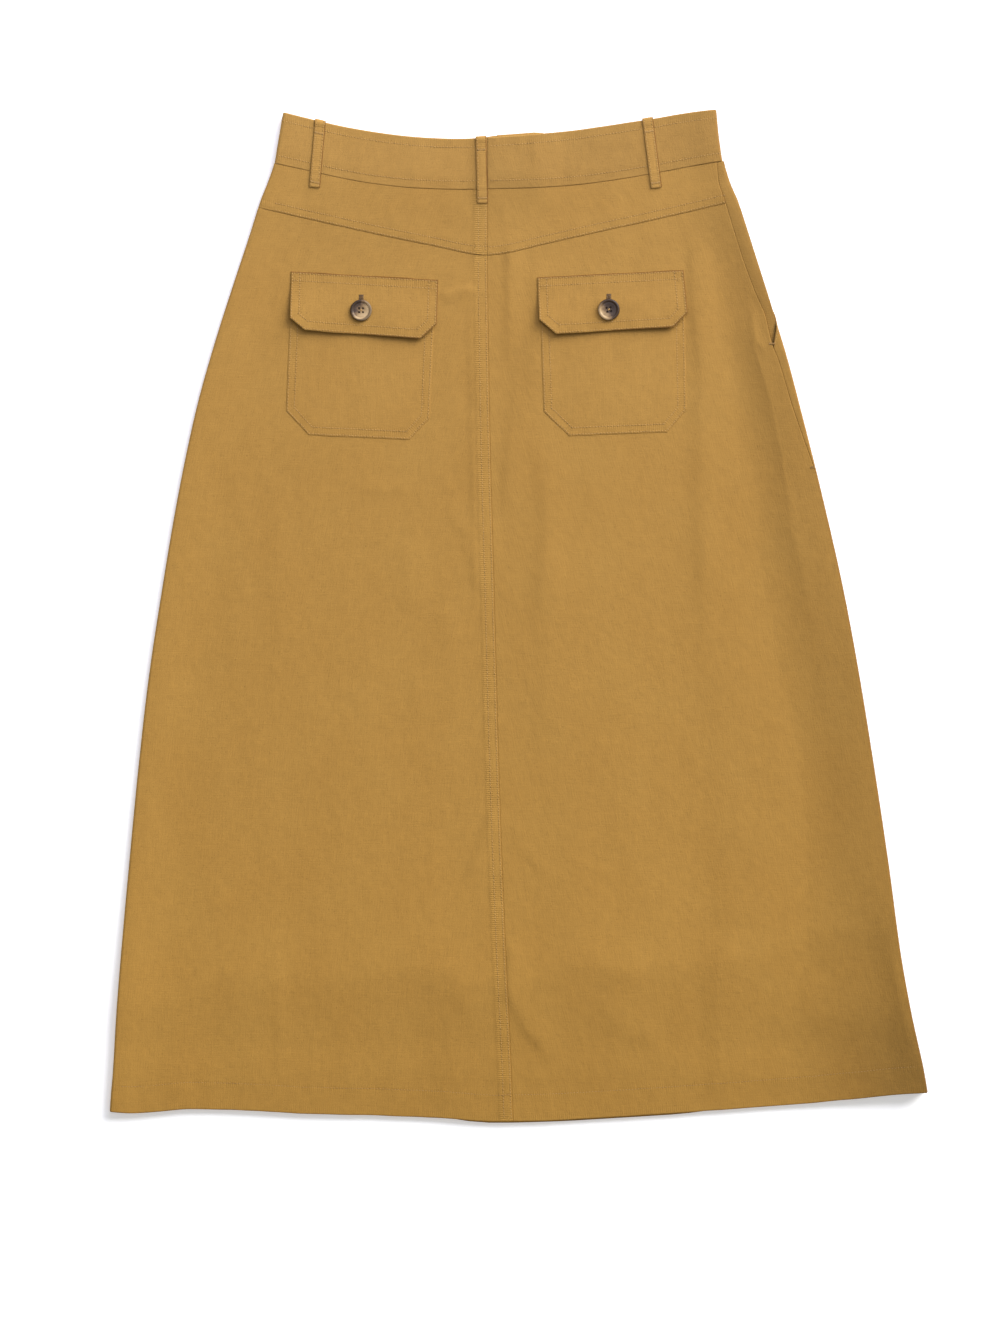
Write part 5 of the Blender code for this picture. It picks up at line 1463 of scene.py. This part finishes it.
def belt_loop(name, top_x, foot_x, foot_y, under_side):
    """A flat strip over the waistband: foot on the yoke or panel, head hooked over the top edge."""
    top_x, foot_x = float(top_x), float(foot_x)
    edge = float(front_top(np.float64(top_x)) - 1.7 if under_side else top_edge(np.float64(top_x)))
    seam = float(band_seam(np.float64(foot_x)))
    clear = 0.4 if under_side else 0.1
    loop_painted_light = 0.13 if name == "belt_loop_back_centre" else 0.04     # painted light: drawn paler than the band, most on the centre loop, whose face tilts away from the light over the thick seam

    def base(x, y):
        x, y = np.float64(x), np.float64(y)
        tube = BAND if y > seam else BODY
        return float(-tube.bottom(x, y) if under_side else tube.top(x, y))

    stations = ((foot_y, 0.32), (foot_y + 3.0, 0.35), (seam - 6.0, 0.5), (seam - 1.5, BAND_RAISE * 0.7 + clear * 0.6),
                (seam + 4.0, BAND_RAISE + clear), ((seam + edge) / 2, BAND_RAISE + clear + 0.25),
                (edge - 7.0, BAND_RAISE + clear), (edge - 2.0, BAND_RAISE + 0.7),
                (edge + 0.6, BAND_RAISE + 0.1), (edge + 0.8, BAND_RAISE - 1.1))
    length = edge - foot_y
    slant = float(top_edge(np.float64(top_x + 6)) - top_edge(np.float64(top_x - 6))) / 12
    line = []
    for y, lift in stations:
        x = foot_x + (top_x - foot_x) * (y - foot_y) / length
        line.append((x, y, base(x, min(y, edge - 1.0)) + lift))
    line = chaikin(np.array(line), 3)
    tangent = np.gradient(line, axis=0)
    tangent /= np.linalg.norm(tangent, axis=1, keepdims=True)
    count = 22
    # section: across from -1 to 1, a slightly crowned top and rounded edges
    turn = np.linspace(0, 2 * math.pi, count, endpoint=False)
    sx = np.sign(np.cos(turn)) * np.abs(np.cos(turn)) ** 0.42
    sz = np.sign(np.sin(turn)) * np.abs(np.sin(turn)) ** 0.62
    rings, uv = [], []
    run = np.concatenate([[0], np.cumsum(np.linalg.norm(np.diff(line, axis=0), axis=1))])
    for k, (p, t) in enumerate(zip(line, tangent)):
        widthways = np.array([1.0, slant, 0.0])
        here = min(p[1], edge - 1.0)
        widthways[2] = (base(p[0] + 4, here) - base(p[0] - 4, here)) / 8
        widthways -= t * np.dot(widthways, t)
        widthways /= np.linalg.norm(widthways)
        n = np.cross(widthways, t)
        if n[2] < -0.2 or (abs(n[2]) <= 0.2 and n[1] < 0):
            n = -n
        end = min(run[k], run[-1] - run[k])
        thin = 1 - 0.45 * float(rounded(np.float64(end), 1.2))
        half = LOOP_WIDTH / 2 * (1 + 0.012 * math.sin(run[k] * 0.35))
        groove = 0.10 * np.exp(-((np.abs(sx) - 0.66) / 0.10) ** 2) * (sz > 0.2)
        across = half * sx
        up = LOOP_WALL / 2 * (1 + sz * thin) - groove + 0.05 * np.sin(run[k] * 1.1) * (sz > 0)
        rings.append(p + widthways * across[:, None] + n * up[:, None])
        uv.append(np.column_stack([across, np.full(count, run[k] + 340.0), np.full(count, loop_painted_light)]))
    rings = np.array(rings)
    if under_side:
        rings[..., 2] *= -1
    m = len(rings)
    idx = np.arange(m * count).reshape(m, count)
    nxt = np.roll(idx, -1, axis=1)
    quads = np.stack([idx[:-1], nxt[:-1], nxt[1:], idx[1:]], -1).reshape(-1, 4)
    caps = np.array([idx[0][::-1], idx[-1]])
    uv = np.concatenate(uv)
    off_middle = uv[:, 0] / (LOOP_WIDTH / 2)
    # painted shade along the loop's edges, strongest on its right edge, and at its foot
    rim = np.maximum(0.75 * ease(0.80, 0.93, off_middle), 0.30 * ease(0.86, 0.97, -off_middle))
    rim = np.maximum(rim, 0.14 * (1 - ease(0, 1.6, uv[:, 1] - 340.0)))
    seam_ribs = np.column_stack([uv[:, 1], 0.8 * np.exp(-((np.abs(uv[:, 0]) - 3.0) / 1.2) ** 2), rim])
    mesh = make_mesh("twill_" + name, rings.reshape(-1, 3), [quads, caps], {"cloth": uv, "seam": seam_ribs})
    mesh.set_sharp_from_angle(angle=math.radians(70))
    obj = add_piece("twill_" + name, mesh, twill_band, (name,))
    # bar tacks near the head and at the foot
    flip = -1.0 if under_side else 1.0
    for at, rows in ((run[-1] - 12.5, 1), (4.0, 1)):
        k = int(np.searchsorted(run, at))
        p, t = line[k], tangent[k]
        w = np.array([1.0, slant, (base(p[0] + 4, min(p[1], edge - 1)) - base(p[0] - 4, min(p[1], edge - 1))) / 8])
        w /= np.linalg.norm(w)
        n = np.cross(w, t)
        n = n if n[2] > 0 else -n
        c = [p + w * off + n * (LOOP_WALL * 0.97) for off in np.linspace(-3.5, 3.5, 12)]
        c, tt, nn = np.array(c), np.tile(t, (12, 1)) + np.outer(np.where(np.arange(12) % 2, 0.25, -0.25), w), np.tile(n, (12, 1))
        for v in (c, tt, nn):
            v[:, 2] *= flip
        THREADS.setdefault("loops", []).append(capsules(c, tt, nn, 1.7, 0.2, sink=0.12))
    # a row of stitches down each side
    for off in (-3.0, 3.0):
        pts, nor = [], []
        for p, t in zip(line[2:-6], tangent[2:-6]):
            w = np.array([1.0, slant, 0.0])
            w -= t * np.dot(w, t)
            w /= np.linalg.norm(w)
            n = np.cross(w, t)
            n = n if n[2] > 0 else -n
            q = p + w * off + n * (LOOP_WALL * 0.93)
            pts.append(q * np.array([1, 1, flip]))
            nor.append(n * np.array([1, 1, flip]))
        sew("loops", np.array(pts), np.array(nor), seed=170 + int(off), radius=0.2)
    return obj


LOOPS = {}
for word, top_x, foot_x, foot_y in BACK_LOOPS:
    LOOPS["back_" + word] = belt_loop("belt_loop_back_" + word, top_x, foot_x, foot_y, False)
for word, top_x, foot_x, foot_y in FRONT_LOOPS:
    LOOPS["front_" + word] = belt_loop("belt_loop_front_" + word, top_x, foot_x, foot_y, True)

# bar tacks on the right side seam: at the pocket mouth's foot and where the pocket bag ends
for ty, half in ((226.5, 2.2), (123.8, 2.4)):
    g0 = float(side_seam[1](np.float64(ty)))
    g = g0 + np.linspace(-half, half, 9)
    y = np.full_like(g, ty) + np.where(np.arange(9) % 2, 0.25, -0.25)
    q = BODY.quarter(1, y)[2]
    p = BODY.point(1, g, y, 0.1 + 0.0 * g)
    n = BODY.point(1, g, y, 1.1 + 0.0 * g) - p
    ahead = np.tile([0.0, 1.0, 0.0], (9, 1))
    THREADS.setdefault("side_tacks", []).append(capsules(p, ahead, n, 1.7, 0.24, sink=0.12))

# the buttonholes' threads and the shanks get the dark thread, as painted shade
dark_names = ("buttonhole_left", "buttonhole_right", "button_shanks")
dark = {k: THREADS.pop(k) for k in dark_names}
hems = {k: THREADS.pop(k) for k in ("hem_left", "hem_right", "side_tacks")}
finish_threads(thread)
THREADS.clear()
THREADS.update(hems)
finish_threads(thread_hem)
THREADS.clear()
THREADS.update(dark)
finish_threads(thread_dark)

# ---------------------------------------------------------------- column names for the cut of each piece (m, m, m2)
CUT_COLUMNS = ("piece", "width", "length", "area", "rests_on")

# ---------------------------------------------------------------- floor, light and camera
floor_mesh = bpy.data.meshes.new("floor")
R = 100.0
floor_mesh.from_pydata([(-R, -R, -0.0003), (R, -R, -0.0003), (R, R, -0.0003), (-R, R, -0.0003)], [], [(0, 1, 2, 3)])
floor = bpy.data.objects.new("floor", floor_mesh)
bpy.context.scene.collection.objects.link(floor)
floor_material, floor_tree, floor_shader = node_tree("floor_white")
floor_noise = add(floor_tree, "TexNoise", {"Vector": add(floor_tree, "TexCoord").outputs["Object"], "Scale": 9.0})
floor_ramp = add(floor_tree, "ValToRGB", {0: floor_noise.outputs["Fac"]})
floor_ramp.color_ramp.elements[0].color = (0.89, 0.89, 0.89, 1)
floor_ramp.color_ramp.elements[1].color = (0.91, 0.91, 0.91, 1)
floor_tree.links.new(floor_ramp.outputs[0], floor_shader.inputs["Base Color"])
floor_shader.inputs["Roughness"].default_value = 0.9
floor_shader.inputs["Emission Color"].default_value = (1.0, 1.0, 1.0, 1)
floor_shader.inputs["Emission Strength"].default_value = 0.34
floor_shader.inputs["Specular IOR Level"].default_value = 0.1
floor_mesh.materials.append(floor_material)

scene = bpy.context.scene
world = bpy.data.worlds.new("studio")
scene.world = world
world.use_nodes = True
background = next(n for n in world.node_tree.nodes if n.type == "BACKGROUND")
background.inputs[0].default_value = (1.0, 1.0, 1.0, 1)
background.inputs[1].default_value = 0.35

sun = bpy.data.lights.new("window", "SUN")
sun.energy = 6.3
sun.angle = math.radians(42)
sun.color = (1.0, 0.995, 0.98)
key = bpy.data.objects.new("window", sun)
scene.collection.objects.link(key)
toward = np.array([0.62, 0.64, 0.36])
key.rotation_euler = Vector(toward).to_track_quat("Z", "Y").to_euler()

top_light = bpy.data.lights.new("lamp_above", "AREA")
top_light.shape = "DISK"
top_light.size = 0.8
top_light.energy = 5.3
top_light.color = (0.95, 0.99, 1.35)
lamp = bpy.data.objects.new("lamp_above", top_light)
scene.collection.objects.link(lamp)
lamp.location = (0.1, 0.8, 1.0)
lamp.rotation_euler = (Vector((0.1, 0.5, 1.0))).to_track_quat("Z", "Y").to_euler()

camera_data = bpy.data.cameras.new("camera")
camera_data.sensor_width = 36.0
camera_data.lens = 97.17
camera_data.clip_start, camera_data.clip_end = 0.05, 500.0
camera = bpy.data.objects.new("camera", camera_data)
scene.collection.objects.link(camera)
camera.location = (-0.01556, -0.04183, 3.0)
camera.rotation_euler = (0.0, 0.0, 0.0)
scene.camera = camera
scene.view_settings.view_transform = "Standard"
scene.view_settings.look = "None"
scene.view_settings.exposure = 0.0
